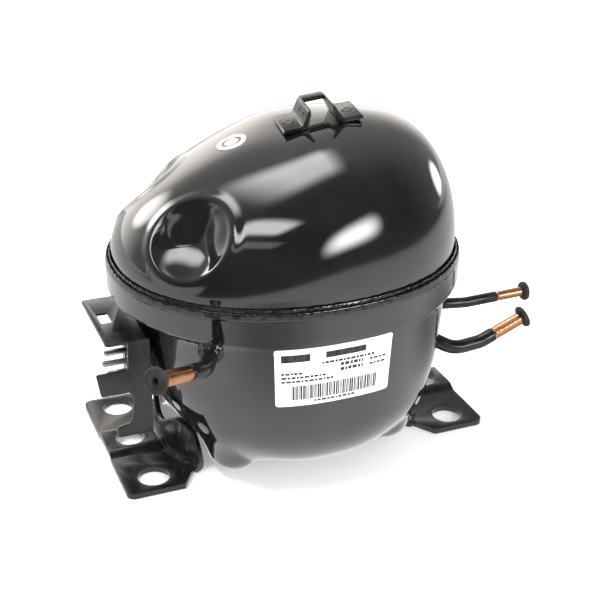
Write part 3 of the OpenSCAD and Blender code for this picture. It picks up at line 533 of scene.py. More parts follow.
def seam_ring(out, z):
    return ring(SEAM_A + out, SEAM_B + out, SEAM_N, z)


def upper_shell():
    bm = bmesh.new()
    rows = [seam_ring(-SHELL_T, SKIRT_Z), seam_ring(0.0, SKIRT_Z), seam_ring(0.0, SEAM_Z)]
    rises = [DOME_TOP * k / DOME_ROWS for k in range(DOME_ROWS + 1)]
    rows += [[dome_point(th, p) for th in BEARINGS] for p in rises]
    outer = add_grid(bm, rows, wrap=True)
    cap(bm, outer[-1], dome_at(0, pi / 2))
    inner_rows = [[dome_point(th, radians(p), SHELL_T) for th in BEARINGS] for p in range(INNER_ROWS)]
    inner = add_grid(bm, inner_rows, wrap=True)
    cap(bm, inner[-1], dome_at(0, pi / 2, SHELL_T))
    bridge(bm, outer[0], inner[0])
    dress(make_object("upper_shell_skin", bm), "gloss_black", "upper_shell")


def pocket_swell(q, outward):
    """How far a spring pocket swells the wall at q, blended into it by a soft fillet."""
    swell = 0.0
    for centre in POCKETS:
        to_centre = Vector((centre.x, centre.y, clamp(q.z, centre.z, POCKET_TOP))) - q
        if to_centre.length > POCKET_FAR:
            continue
        deep = to_centre.dot(outward)
        off = (to_centre - outward * deep).length
        if off < POCKET_R:
            rise = deep + sqrt(POCKET_R ** 2 - off ** 2)
        else:
            rise = deep - 2 * (off - POCKET_R)
        fade = smooth((SWELL_OUT - off) / SWELL_EDGE) * smooth((SWELL_TOP - q.z) / SWELL_FADE)
        swell += 0.5 * (rise + hypot(rise, POCKET_BLEND)) * fade
    return swell


Z_STEP, OFF_BOTTOM = 0.1, 0.002


def low_wall(th, z):
    """Point of the lower shell's outside with its spring pockets."""
    q = wall_point(th, z)
    if z > SWELL_TOP:
        return q
    along = wall_point(th + TURN_STEP, z) - wall_point(th - TURN_STEP, z)
    low = max(z - Z_STEP / 2, BOTTOM_Z + OFF_BOTTOM)
    rise = wall_point(th, low + Z_STEP) - wall_point(th, low)
    outward = along.cross(rise).normalized()
    return q + outward * pocket_swell(q, outward)


SEAT_GAP, LEDGE_IN = 0.1, -3.5
WALL_HEIGHTS = [57, 60, 65, 70, 75]
RIM_HEIGHTS = [80.5, 82, 83.5, 84.2, 84.9, 85.4, 85.8, 86.1, 86.5, 87, 87.3, 88, SEAM_Z]


def fillet_height(degrees, d=0.0):
    """Height of the end fillet at an angle from the bottom, on the face drawn in by d."""
    return BOTTOM_Z + d + (END_FILLET - d) * (1 - cos(radians(degrees)))


def lower_shell():
    bm = bmesh.new()
    heights = [fillet_height(0.5 * f) for f in range(0, 121, 3)]
    heights += [fillet_height(f) for f in range(63, 91, 3)] + WALL_HEIGHTS + RIM_HEIGHTS
    rows = [[low_wall(th, z) for th in BEARINGS] for z in heights]
    rows += [seam_ring(SEAT_GAP, SEAM_Z), seam_ring(SEAT_GAP, SKIRT_Z), seam_ring(LEDGE_IN, SKIRT_Z)]
    inner = [BAND_Z - 2, 70, 54] + [fillet_height(f, SHELL_T) for f in (70, 45, 20, 0)]
    rows += [ring(*body_row(z, SHELL_T), z) for z in inner]
    grid = add_grid(bm, rows, wrap=True)
    cap(bm, grid[0], (0, 0, BOTTOM_Z))
    cap(bm, grid[-1], (0, 0, BOTTOM_Z + SHELL_T))
    dress(sharp_normals(make_object("lower_shell_skin", bm), 50), "gloss_black", "lower_shell")


WELD_COUNT, WELD_SECTION = 1080, 18
WELD_OUT, WELD_IN, WELD_LOW, WELD_CLIMB = 3.1, 0.3, SEAM_Z - 0.1, 2.6
WELD_RIDGES, RIDGE_WIDTH, ROUGH_WIDTH = [(0.24, 3.3511), (0.70, 3.6425)], 0.30, 0.62
WELD_LUMPS = [(0.42, 0.40, Vector((0, 0, 0))), (1.3, 0.36, Vector((7, 3, 1)))]


def seam_weld():
    """Two rough ridges of weld laid between the rim and the dome's skirt."""
    bm = bmesh.new()
    rows = []
    for th in full_turn(WELD_COUNT):
        outward = Vector((cos(th), sin(th), 0.7)).normalized()
        row = []
        for i in range(WELD_SECTION + 1):
            t = i / WELD_SECTION
            out = mix(WELD_OUT, 0.0, t)
            up = sum(h * bump(t - at, RIDGE_WIDTH) for at, h in WELD_RIDGES) + WELD_CLIMB * t
            base = oval(th, SEAM_A + out, SEAM_B + out, SEAM_N, WELD_LOW + up)
            rough = sum(h * noise.noise(base * scale + seed) for scale, h, seed in WELD_LUMPS)
            row.append(base + outward * rough * bump(t - 0.5, ROUGH_WIDTH))
        row.append(oval(th, SEAM_A - WELD_IN, SEAM_B - WELD_IN, SEAM_N, WELD_LOW))
        rows.append(row)
    add_grid(bm, rows, wrap=True, close=True)
    dress(make_object("seam_weld_bead", bm), "weld_black", "seam_weld")


# Feet

HOLE_DX, HOLE_DY, HOLE_R = 165.0, 70.0, 8.0
FOOT_T, FOOT_X, FOOT_Y, FOOT_CORNER = 3.0, 98.5, 46.8, 4.0
STEP_H, STEP_HALF, STEP_RAMP = 2.5, 9.0, 5.0
MID_DX, MID_R = 170.0, 7.5
SHOULDER_X, SHOULDER_SLANT = 69.5, radians(56.4)
EAR_H, EAR_AT, EAR_SPAN, SADDLE_H = 24.5, 19.0, 31.0, 14.5
SADDLE_A, SADDLE_B, SADDLE_FLARE, SADDLE_GAP = 66.6, 61.0, 3.5, 0.1
SADDLE_FULL, ROOT_RISE, SADDLE_LIP, SADDLE_END = 6.0, 4.5, 1.3, FOOT_T + 2
CUT_PAST = 2.0


def saddle_top(degrees):
    """Height of the saddle's edge: low in the middle, higher at the two ears, then down to the plate."""
    u = min(1.0, abs(degrees) / EAR_AT)
    v = max(0.0, (abs(degrees) - EAR_AT) / (EAR_SPAN - EAR_AT))
    return mix(SADDLE_H, EAR_H, smooth(u)) - (EAR_H - SADDLE_END) * min(1.0, v) ** 4


def saddle_r(degrees):
    t = radians(degrees)
    a, b, n = body_row(saddle_top(degrees))
    return max(polar(t, SADDLE_A, SADDLE_B, 2), polar(t, a, b, n)) + SADDLE_GAP


def saddle_point(degrees, d, z):
    r = saddle_r(degrees) + d
    return Vector((r * cos(radians(degrees)), r * sin(radians(degrees)), z))


def step_rise(y):
    return STEP_H * smooth((STEP_HALF + STEP_RAMP - abs(y)) / STEP_RAMP)


def saddle_section(degrees):
    """Closed section of the drawn-up flange at a bearing: out along the plate, up, over and back down."""
    root = FOOT_T + SADDLE_FLARE
    base = step_rise(saddle_point(degrees, root, 0).y)
    top = saddle_top(degrees)
    rise = top - base - FOOT_T
    k = min(1.0, rise / SADDLE_FULL)
    points = []
    for i in range(9):
        a = radians(90 * i / 8)
        up = ROOT_RISE * k * (1 - cos(a)) ** 1.2
        points.append((root - SADDLE_FLARE * sin(a) ** 1.4, base + FOOT_T + up))
    lip = min(SADDLE_LIP, 0.3 * rise)
    points += arc((FOOT_T - lip, top - lip), lip, 0, 90, 4)
    points += [(0.5, top), (0.12, top - 0.15), (0, top - 0.5)]
    points += [(0, base + FOOT_T + 2.0 * k), (0.7, base + 1.9 * k + 0.4), (2.2, base + 0.5 * k + 0.1),
               (root - 0.9, base + 0.3)]
    return [saddle_point(degrees, d, z) for d, z in points]


def slant_x(y):
    """Edge of the slanting shoulder at a distance from the middle."""
    return SHOULDER_X - (FOOT_Y - y) / tan(SHOULDER_SLANT)


def foot(name, node, turn):
    """Stamped foot with a raised middle step, three holes and a drawn-up saddle."""
    half = [(SHOULDER_X, FOOT_Y)]
    half += arc((FOOT_X - FOOT_CORNER, FOOT_Y - FOOT_CORNER), FOOT_CORNER, 90, 0, 8)
    under = FOOT_T + SADDLE_FLARE - 2.0
    inner = [saddle_point(EAR_SPAN * i / 12, under, 0) for i in range(-15, 16)]
    inner = [(p.x, p.y) for p in inner if p.x > slant_x(abs(p.y))]
    right = [(x, -y) for x, y in reversed(half)]
    edge_y = inner[-1][1]
    outline = inner + [(slant_x(edge_y), edge_y)] + half + right + [(slant_x(edge_y), -edge_y)]
    bm = prism(outline, 0.0, FOOT_T)
    ramp = [STEP_HALF + STEP_RAMP * k / 4 for k in range(5)]
    for y in [-y for y in reversed(ramp)] + ramp:
        geometry = bm.verts[:] + bm.edges[:] + bm.faces[:]
        bmesh.ops.bisect_plane(bm, geom=geometry, plane_co=(0, y, 0), plane_no=(0, 1, 0))
    for v in bm.verts:
        v.co.z += step_rise(v.co.y)
    plate = make_object(name, bm)
    deep = FOOT_T + STEP_H + 2 * CUT_PAST
    holes = [round_cutter((HOLE_DX / 2, s * HOLE_DY / 2, -CUT_PAST), Z_AXIS, HOLE_R, deep) for s in (-1, 1)]
    holes.append(round_cutter((MID_DX / 2, 0, -CUT_PAST), Z_AXIS, MID_R, deep))
    cut_round_edges(plate, holes, 0.7, 3, 30)
    bm = bmesh.new()
    half_turn = [EAR_AT * i / 20 for i in range(21)]
    half_turn += [mix(EAR_AT, EAR_SPAN, sin(radians(5 * k))) for k in range(1, 19)]
    grid = add_grid(bm, [saddle_section(t) for t in [-t for t in reversed(half_turn[1:])] + half_turn])
    for a, b in zip(grid, grid[1:]):
        bm.faces.new((a[-1], b[-1], b[0], a[0]))
    bm.faces.new(grid[0])
    bm.faces.new(grid[-1])
    flange = make_object(name + "_saddle", bm)
    join(plate, flange)
    sharp_normals(plate, 42)
    if turn:
        plate.data.transform(Matrix.Rotation(pi, 4, "Z"))
    dress(plate, "satin_black", node)


# Lifting bracket

BRACKET_X, BRACKET_TURN, BRACKET_LIFT = 17.0, radians(-8), 0.4
BRACKET_W, BRACKET_LEN, BRACKET_T = 22.0, 40.0, 2.0
LOOP_W, LOOP_H, LOOP_BEND, BRIDGE_W = 20.0, 10.0, 3.0, 6.0
LOOP_TOP = LOOP_W / 2 - 2.5
BUTTON_R, BUTTON_ROOT = 3.1, 2.4
RIBS_Y, RIB_FROM, RIB_RUN, RIB_LOW, RIB_RISE = (-4.6, 2.4), 1.2, 1.9, 2.6, 5.2
RIB = [(0, 0.15), (0.12, 0.7), (0.3, 0.95), (0.5, 1.0), (0.7, 0.95), (0.88, 0.7), (1, 0.15)]


def dome_top(x):
    ridge = [dome_at(pi, radians(p)) for p in range(0, 91, 2)]
    ridge += [dome_at(0, radians(p)) for p in range(88, -1, -2)]
    return lookup(x, [(q.x, q.z) for q in ridge])


def strap_outline():
    """Side view of the hat-shaped strap, both faces, with rounded bends."""
    leg, end, t = LOOP_W / 2, BRACKET_LEN / 2, BRACKET_T
    bend = (LOOP_TOP - LOOP_BEND, LOOP_H - LOOP_BEND)
    outer = arc(bend, LOOP_BEND, 90, 8, 6)
    outer += [(leg - 0.6, t + 2.2), (leg + 0.1, t + 0.7), (leg + 1.4, t)]
    outer += [(end - 0.6, t), (end, t - 0.6), (end, 0.3), (end - 0.3, 0)]
    under = [(leg - t + 0.9, 0), (leg - t - 0.1, 0.5), (leg - t - 0.5, 1.6)]
    under += arc(bend, LOOP_BEND - t, 8, 90, 5)
    half = outer + under
    return half + [(-x, z) for x, z in reversed(half)]


def lifting_bracket():
    arm = BRACKET_LEN / 2 - (BRACKET_LEN - LOOP_W) / 4
    low, high = dome_top(BRACKET_X - arm), dome_top(BRACKET_X + arm)
    bm = prism(strap_outline(), -BRACKET_W / 2, BRACKET_W / 2)
    stand_up(bm)
    obj = make_object("lifting_strap", bm)
    gap = LOOP_TOP - BRACKET_T
    cutter = box_cutter((-gap, -BRACKET_W / 2 - 1, LOOP_H - 1.6 * BRACKET_T),
                        (gap, BRACKET_W / 2 - BRIDGE_W, LOOP_H + 3))
    cut_round_edges(obj, [cutter], 0.35, 3, 40)
    bm = bmesh.new()
    for s in (-1, 1):
        profile = [(-1.4, BUTTON_ROOT), (0.2, BUTTON_ROOT), (BRACKET_T + 0.05, BUTTON_R),
                   (BRACKET_T + 0.22, BUTTON_R - 0.4), (BRACKET_T + 0.12, BUTTON_R - 1.5),
                   (BRACKET_T + 0.05, POINT_R)]
        add_lathe(bm, (s * arm, 0, 0), Z_AXIS, profile, 32)
    for y in RIBS_Y:
        path = [(-LOOP_W / 2 + RIB_FROM + RIB_RUN * t, y, RIB_LOW + RIB_RISE * t) for t, r in RIB]
        add_sweep(bm, path, [r for t, r in RIB], 14)
    join(obj, make_object("lifting_strap_ribs", bm))
    sharp_normals(obj, 42)
    tilt = Matrix.Rotation(-atan2(high - low, 2 * arm), 4, "Y")
    spin = Matrix.Rotation(BRACKET_TURN, 4, "Z")
    place = Matrix.Translation((BRACKET_X * MM, 0, ((low + high) / 2 + BRACKET_LIFT) * MM))
    obj.data.transform(place @ tilt @ spin)
    dress(obj, "satin_black", "lifting_bracket")


# Terminal and fence

TERM_Z, CUP_X, CUP_D, CUP_LEN = 51.0, -82.5, 30.0, 10.0
PIN_PCD, PIN_R, PIN_OUT, PIN_IN = 12.0, 1.6, 13.5, 10.0
FENCE_Z0, FENCE_Z1, FENCE_HALF, FENCE_T = 23.4, 75.4, 25.5, 1.5
FENCE_GAP, CUP_ROOM = 0.1, 3.0
FENCE_X = -(body_row(FENCE_Z1)[0] + FENCE_GAP)
FLAP_OUT, FLAP_CORNER, ARM_OUT, ARM_Z, ARM_H = 20.0, 2.0, 27.0, 47.6, 12.6
SLOT_FROM, SLOT_TO, SLOT_FRONT, SLOT_REAR, SLOT_PAST = 2.0, 7.6, -3.0, 8.0, 5.0


def terminal_fence():
    """Bent sheet fence: back plate, top flap with a slot, and a front wall with an arm and a foot."""
    bm = prism(rectangle(-FENCE_HALF, FENCE_Z0, FENCE_HALF, FENCE_Z1), 0, FENCE_T)
    to_wall = Matrix(((0, 0, -1), (1, 0, 0), (0, 1, 0)))
    bmesh.ops.transform(bm, matrix=to_wall.to_4x4(), verts=bm.verts)
    bmesh.ops.translate(bm, vec=(FENCE_X, 0, 0), verts=bm.verts)
    back = make_object("fence_sheet", bm)
    cup_hole = round_cutter((FENCE_X - 4, 0, TERM_Z), X_AXIS, CUP_D / 2 + CUP_ROOM, 8)
    cut_round_edges(back, [cup_hole], 0.3, 2, 40)
    bend_x, bend_y = FENCE_X - FLAP_OUT - FENCE_T + FLAP_CORNER, FENCE_HALF - FLAP_CORNER
    outline = [(FENCE_X, -FENCE_HALF), (FENCE_X, FENCE_HALF)]
    outline += arc((bend_x, bend_y), FLAP_CORNER, 90, 180, 6)
    outline += arc((bend_x, -bend_y), FLAP_CORNER, 180, 270, 6)
    flap = make_object("fence_flap", prism(outline, FENCE_Z1 - FENCE_T, FENCE_Z1))
    tip = FENCE_X - FLAP_OUT
    slot = box_cutter((tip + SLOT_FROM, SLOT_FRONT, FENCE_Z1 - SLOT_PAST),
                      (tip + SLOT_TO, SLOT_REAR, FENCE_Z1 + SLOT_PAST))
    cut_round_edges(flap, [slot], 0.35, 3, 40)
    arm_top = ARM_Z + ARM_H
    wall = [(0, FENCE_Z0), (17, FENCE_Z0), (18, FENCE_Z0 + 1), (18, FENCE_Z0 + 5), (17.2, FENCE_Z0 + 5.8),
            (11.6, FENCE_Z0 + 7), (10.4, FENCE_Z0 + 8.4), (9.2, ARM_Z - 6), (9.8, ARM_Z - 1.2),
            (11.2, ARM_Z), (ARM_OUT - 2.6, ARM_Z), (ARM_OUT - 1.8, ARM_Z + 0.8), (ARM_OUT, arm_top - 0.8),
            (ARM_OUT - 0.8, arm_top), (12.2, arm_top), (11.3, arm_top + 1), (11, FENCE_Z1), (0, FENCE_Z1)]
    bm = prism([(-x, z) for x, z in wall], -FENCE_T / 2, FENCE_T / 2)
    stand_up(bm)
    bmesh.ops.translate(bm, vec=(FENCE_X, -FENCE_HALF, 0), verts=bm.verts)
    side = make_object("fence_side", bm)
    cut_round_edges(side, [], 0.3, 3, 40)
    join(back, flap, side)
    sharp_normals(back, 42)
    dress(back, "satin_black", "terminal_fence")


def terminal_pins():
    total = PIN_OUT + CUP_LEN + PIN_IN
    profile = [(0, POINT_R), (0, PIN_R - 0.7), (0.3, PIN_R - 0.25), (0.9, PIN_R), (PIN_OUT - 0.5, PIN_R),
               (PIN_OUT - 0.5, PIN_R - 0.1), (total, PIN_R - 0.1), (total, POINT_R)]
    bm = bmesh.new()
    for degrees in (90, 210, 330):
        y, z = PIN_PCD / 2 * cos(radians(degrees)), TERM_Z + PIN_PCD / 2 * sin(radians(degrees))
        add_lathe(bm, (CUP_X - PIN_OUT, y, z), X_AXIS, profile, 28)
    dress(sharp_normals(make_object("contact_pins", bm), 50), "pin_steel", "terminal_pins")


# Tubes, stubs and plugs

TUBE_T, TUBE_SIDES = 0.7, 40
STUB_T, STUB_GAP, STUB_IN, STUB_OVER = 0.8, 0.03, 6.0, 0.05
STEM_LEN, STEM_GAP, HEAD_T, HEAD_OVER = 9.0, 0.05, 3.0, 2.7
WELL_SHARE, WELL_DEEP = 0.28, 5.4
TUBES = {
    "suction": dict(d=7.6, split=18.0, bend=16.0,
                    route=[(72, -13.6, 45.3), (90, -24, 36.4), (106, -24.8, 38.3), (130, -25, 48.4)]),
    "discharge": dict(d=6.0, split=16.5, bend=30.0,
                      route=[(72, -2, 55.2), (108, -2, 50.9), (144, -2.6, 52)]),
    "process": dict(d=7.8, split=22.0, bend=10.0,
                    route=[(-53.64, -49.53, 82), (-66.04, -71.03, 80), (-92.84, -89.73, 89.9)]),
}


def rounded_route(route, bend):
    """Route with each corner turned into an arc of the bend radius, as far as its legs allow."""
    points = [Vector(p) for p in route]
    result = [points[0]]
    for a, b, c in zip(points, points[1:], points[2:]):
        u, w = (b - a).normalized(), (c - b).normalized()
        angle = u.angle(w)
        reach = min(bend * tan(angle / 2), 0.48 * (b - a).length, 0.48 * (c - b).length)
        radius = reach / tan(angle / 2)
        start = b - u * reach
        inward = (w - u * u.dot(w)).normalized()
        for i in range(13):
            t = angle * i / 12
            result.append(start + u * radius * sin(t) + inward * radius * (1 - cos(t)))
    result.append(points[-1])
    return result


def tube_end(tube):
    end = Vector(tube["route"][-1])
    return end, (end - Vector(tube["route"][-2])).normalized()


def stub_radius(tube):
    return tube["d"] / 2 - TUBE_T / 2 + STUB_OVER


def stub_bore(tube):
    return tube["d"] / 2 - TUBE_T - STUB_GAP - STUB_T


def steel_tube(name, tube):
    end, run = tube_end(tube)
    path = rounded_route(tube["route"][:-1] + [end - run * tube["split"]], tube["bend"])
    r = tube["d"] / 2
    path = path[:-1] + [path[-1] - run * 0.5, path[-1]]
    radii = [r] * (len(path) - 1) + [r - 0.25]
    bm = bmesh.new()
    outer = add_sweep(bm, path, radii, TUBE_SIDES, capped=False)
    inner = add_sweep(bm, path, [r - TUBE_T] * len(path), TUBE_SIDES, capped=False)
    for end_row in (0, -1):
        bridge(bm, outer[end_row], inner[end_row])
    dress(make_object(name + "_steel_tube", bm), "satin_black", name + "_tube")


def copper_stub(name, tube):
    """Bright copper end: a swaged shoulder, a few draw marks and a rolled open rim."""
    end, run = tube_end(tube)
    r, bore = stub_radius(tube), stub_bore(tube)
    thin = tube["d"] / 2 - TUBE_T - STUB_GAP
    length = tube["split"]
    profile = [(-STUB_IN, bore), (-STUB_IN, thin), (0, thin), (0, r - 0.2), (0.25, r)]
    profile += [(h, r + 0.05 * sin(h * 2.1)) for h in [length * k / 24 for k in range(2, 23)]]
    profile += [(length - 0.3, r), (length, r - 0.25), (length, bore + 0.15), (length - 0.3, bore),
                (-STUB_IN, bore)]
    bm = bmesh.new()
    add_grid(bm, lathe_rows(end - run * length, run, profile, 48), wrap=True)
    bmesh.ops.remove_doubles(bm, verts=bm.verts, dist=MERGE_WITHIN)
    dress(sharp_normals(make_object(name + "_copper_end", bm), 50), "copper", name + "_stub")


def rubber_plug(name, tube):
    """Moulded plug: plain stem, rounded head and a deep round well in its face."""
    end, run = tube_end(tube)
    rim = stub_radius(tube) + HEAD_OVER
    stem = stub_bore(tube) - STEM_GAP
    r = HEAD_T / 2
    well = rim * WELL_SHARE
    floor_at = HEAD_T - WELL_DEEP
    profile = [(-STEM_LEN, POINT_R), (-STEM_LEN, stem - 0.5), (-STEM_LEN + 0.5, stem), (-0.02, stem),
               (0, stem + 0.02)]
    profile += arc((r, rim - r), r, 180, 0, 12)
    profile += [(HEAD_T, well + 1.0), (HEAD_T - 0.1, well + 0.4), (HEAD_T - 0.4, well),
                (floor_at + 0.4, well - 0.1), (floor_at, well - 0.4), (floor_at, POINT_R)]
    bm = bmesh.new()
    add_lathe(bm, end, run, profile, 56)
    obj = sharp_normals(make_object(name + "_rubber_plug", bm), 55)
    dress(obj, "rubber", name + "_plug", body=name + "_plug")


WALK_STEP = 0.1


def outside_wall(q):
    a, b, n = wall_row(q.z)
    return (abs(q.x) / a) ** n + (abs(q.y) / b) ** n > 1


def wall_exit(tube):
    """Point and direction where a tube's first leg leaves the shell's outside."""
    start = Vector(tube["route"][0])
    run = (Vector(tube["route"][1]) - start).normalized()
    q = start
    k = 0
    while not outside_wall(q):
        k += 1
        q = start + run * (WALK_STEP * k)
    return q, run


# Distance along the tube and height over its wall
BRAZE = [(-2.0, -0.2), (-2.0, 2.6), (-0.8, 2.9), (0.5, 2.4), (1.5, 1.5), (2.6, 0.8), (3.8, 0.3), (4.3, -0.1)]
BRAZE_WAVE, BRAZE_LUMP = 0.7, 0.45


def braze_wobble(run, seed):
    """Uneven flow of one bead along its tube and in all directions."""
    def wobble(p):
        lump = (noise.noise(p * 0.9), noise.noise(p * 0.9 + seed), noise.noise(p * 0.8 - seed))
        return run * noise.noise(p * 0.5 + seed) * BRAZE_WAVE + Vector(lump) * BRAZE_LUMP
    return wobble


def braze_beads():
    """Rough braze laid around each tube where it leaves the wall."""
    bm = bmesh.new()
    for index, tube in enumerate(TUBES.values()):
        q, run = wall_exit(tube)
        profile = [(along, tube["d"] / 2 + over) for along, over in BRAZE]
        add_lathe(bm, q, run, profile, 56, braze_wobble(run, Vector((index * 9.0, 2.0, 5.0))))
    dress(make_object("braze_beads", bm), "weld_black", "braze_rings")


# Label and sticker

LABEL_Z0, LABEL_Z1, LABEL_T = 53.5, 84.0, 0.3
LABEL_FROM, LABEL_TO = radians(-114), radians(-72)
LABEL_COLUMNS, LABEL_ROWS, LABEL_ROUND_U, LABEL_ROUND_V = 48, 16, 0.022, 0.045
LABEL_UNDER, PRINT_T, PRINT_LIFT = 0.05, 0.04, LABEL_T + 0.045


def on_label(u, v, lift):
    """Point of the label's face, with u from left to right and v from bottom to top."""
    return wall_point(mix(LABEL_FROM, LABEL_TO, u), mix(LABEL_Z0, LABEL_Z1, v), lift)


def add_patch(bm, u0, v0, u1, v1, columns=4):
    """Thin printed plate on the label's face, closed at its edges."""
    us = [mix(u0, u1, i / columns) for i in range(columns + 1)]
    top = add_grid(bm, [[on_label(u, v, PRINT_LIFT) for u in us] for v in (v0, v1)])
    low = add_grid(bm, [[on_label(u, v, PRINT_LIFT - PRINT_T) for u in us] for v in (v0, v1)])
    close_edges(bm, top, low)


def rating_label():
    """Label with rounded corners that lies on the shell's front."""
    bm = bmesh.new()
    quarters = [0, 0.25, 0.5, 0.75, 1]
    steps = quarters + list(range(2, LABEL_ROWS - 1)) + [LABEL_ROWS - 1 + k for k in quarters]

    def face(lift):
        rows = []
        for v in [step / LABEL_ROWS for step in steps]:
            corner = max(0.0, 1 - min(v, 1 - v) / LABEL_ROUND_V)
            du = LABEL_ROUND_U * (1 - sqrt(max(0.0, 1 - corner ** 2)))
            us = [mix(du, 1 - du, i / LABEL_COLUMNS) for i in range(LABEL_COLUMNS + 1)]
            rows.append([on_label(u, v, lift) for u in us])
        return add_grid(bm, rows)

    close_edges(bm, face(LABEL_T), face(LABEL_UNDER))
    dress(sharp_normals(make_object("plate_label", bm), 50), "label_white", "rating_label")


# Bottom, left end, right end and height of each printed line, as shares of the label
PRINT_LINES = [(0.70, 0.38, 0.84, 0.040), (0.56, 0.05, 0.22, 0.036), (0.49, 0.05, 0.42, 0.036),
               (0.42, 0.05, 0.48, 0.036), (0.62, 0.54, 0.74, 0.055), (0.53, 0.54, 0.74, 0.055),
               (0.62, 0.80, 0.95, 0.036), (0.53, 0.80, 0.95, 0.036), (0.05, 0.32, 0.68, 0.036)]
DASH_MIN, DASH_MORE, DASH_GAP = 0.018, 0.022, 0.008
BAR_COUNT, BAR_FROM, BAR_LOW, BAR_HIGH = 48, 0.13, 0.11, 0.36
BAR_WIDTHS, BAR_GAPS = (0.006, 0.010, 0.0145), (0.004, 0.007)


def label_print():
    """Generic print: two heading bars, lines of small dashes and a block of upright bars."""
    bm = bmesh.new()
    add_patch(bm, 0.05, 0.78, 0.28, 0.91)
    add_patch(bm, 0.41, 0.80, 0.76, 0.91)
    for v, u, u1, height in PRINT_LINES:
        k = 0
        while u < u1:
            width = DASH_MIN + DASH_MORE * ((k * 7 + int(v * 100)) % 5) / 4
            add_patch(bm, u, v, min(u + width, u1), v + height, 2)
            u += width + DASH_GAP
            k += 1
    u = BAR_FROM
    for k in range(BAR_COUNT):
        width = BAR_WIDTHS[(k * 5 + k // 3) % 3]
        add_patch(bm, u, BAR_LOW, u + width, BAR_HIGH, 1)
        u += width + BAR_GAPS[k % 2]
    dress(make_object("plate_label_print", bm, smooth_faces=False), "rubber", material=INK)


STICKER_TH, STICKER_P, STICKER_R, STICKER_SIDES = radians(163), radians(70.5), 7.6, 72
STICKER_LOW, STICKER_EDGE, STICKER_FACE = -0.4, 0.42, 0.5
RING_W, MIDDLE_SHARE = 2.3, 0.46


def round_sticker():
    """White printed ring and plain middle on the dome's shoulder."""
    centre, axis = dome_at(STICKER_TH, STICKER_P), dome_normal(STICKER_TH, STICKER_P)
    inner, middle = STICKER_R - RING_W, STICKER_R * MIDDLE_SHARE
    lift = [STICKER_LOW, STICKER_EDGE, STICKER_FACE]
    radii = [STICKER_R, STICKER_R, STICKER_R - 0.15, inner + 0.1, inner, inner]
    bm = bmesh.new()
    rows = lathe_rows(centre, axis, zip(lift + lift[::-1], radii), STICKER_SIDES)
    add_grid(bm, rows, wrap=True, close=True)
    profile = list(zip(lift, [middle, middle, middle - 0.15]))
    add_lathe(bm, centre, axis, profile, STICKER_SIDES)
    dress(sharp_normals(make_object("dome_sticker", bm), 50), "label_white", "round_sticker")


upper_shell()
lower_shell()
seam_weld()
foot("right_foot_stamping", "right_foot", False)
foot("left_foot_stamping", "left_foot", True)
lifting_bracket()
terminal_fence()
terminal_pins()
for tube_name, tube_sizes in TUBES.items():
    steel_tube(tube_name, tube_sizes)
    copper_stub(tube_name, tube_sizes)
    rubber_plug(tube_name, tube_sizes)
braze_beads()
rating_label()
label_print()
round_sticker()


# Stage: pale floor, white surround and a dark room in front for the reflections

FLOOR_DARK, FLOOR_LIGHT = (0.788, 0.788, 0.77815), (0.80, 0.80, 0.79)


def stage_plane(name, half, z, glow):
    bm = bmesh.new()
    bm.faces.new([bm.verts.new((x, y, z)) for x, y in rectangle(-half, -half, half, half)])
    obj = make_object(name, bm, smooth_faces=False)
    mat, tree, shader = new_material(name + "_paper")
    set_inputs(shader, {"Roughness": 0.9, "Specular IOR Level": 0.1, "Emission Color": (1, 1, 1, 1),
                        "Emission Strength": glow})
    tex = noise_node(tree, 30.0, 3.0)
    ramp = ramp_node(tree, tex.outputs["Fac"], [(0.3, FLOOR_DARK), (0.7, FLOOR_LIGHT)])
    tree.links.new(ramp.outputs["Color"], shader.inputs["Base Color"])
    obj.data.materials.append(mat)
    return obj


FLOOR_GLOW, FLOOR_HALF, FLOOR_Z = 0.22, 6000, -0.3
MIRRORED_HALF, MIRRORED_Z = 3000, -0.2
floor = stage_plane("floor", FLOOR_HALF, FLOOR_Z, FLOOR_GLOW)
floor.visible_glossy = False


def math_node(tree, operation, a, b=None, c=None):
    node = tree.nodes.new("ShaderNodeMath")
    node.operation = operation
    for socket, value in zip(node.inputs, (a, b, c)):
        if value is None:
            continue
        if isinstance(value, (int, float)):
            socket.default_value = value
        else:
            tree.links.new(value, socket)
    return node.outputs[0]


def ease(tree, source, start, end, low=0.0, high=1.0):
    """Smooth step of a value from low at start to high at end."""
    node = range_node(tree, source, start, end, low, high)
    node.interpolation_type = "SMOOTHSTEP"
    return node.outputs["Result"]


def heading(azimuth, elevation):
    """Direction from the object; azimuth 0 is in front, 90 is to the right."""
    a, e = radians(azimuth), radians(elevation)
    return Vector((sin(a) * cos(e), -cos(a) * cos(e), sin(e)))


def chain(tree, operation, *values):
    """One operation over any number of values."""
    total = values[0]
    for value in values[1:]:
        total = math_node(tree, operation, total, value)
    return total


def times(tree, *values):
    return chain(tree, "MULTIPLY", *values)


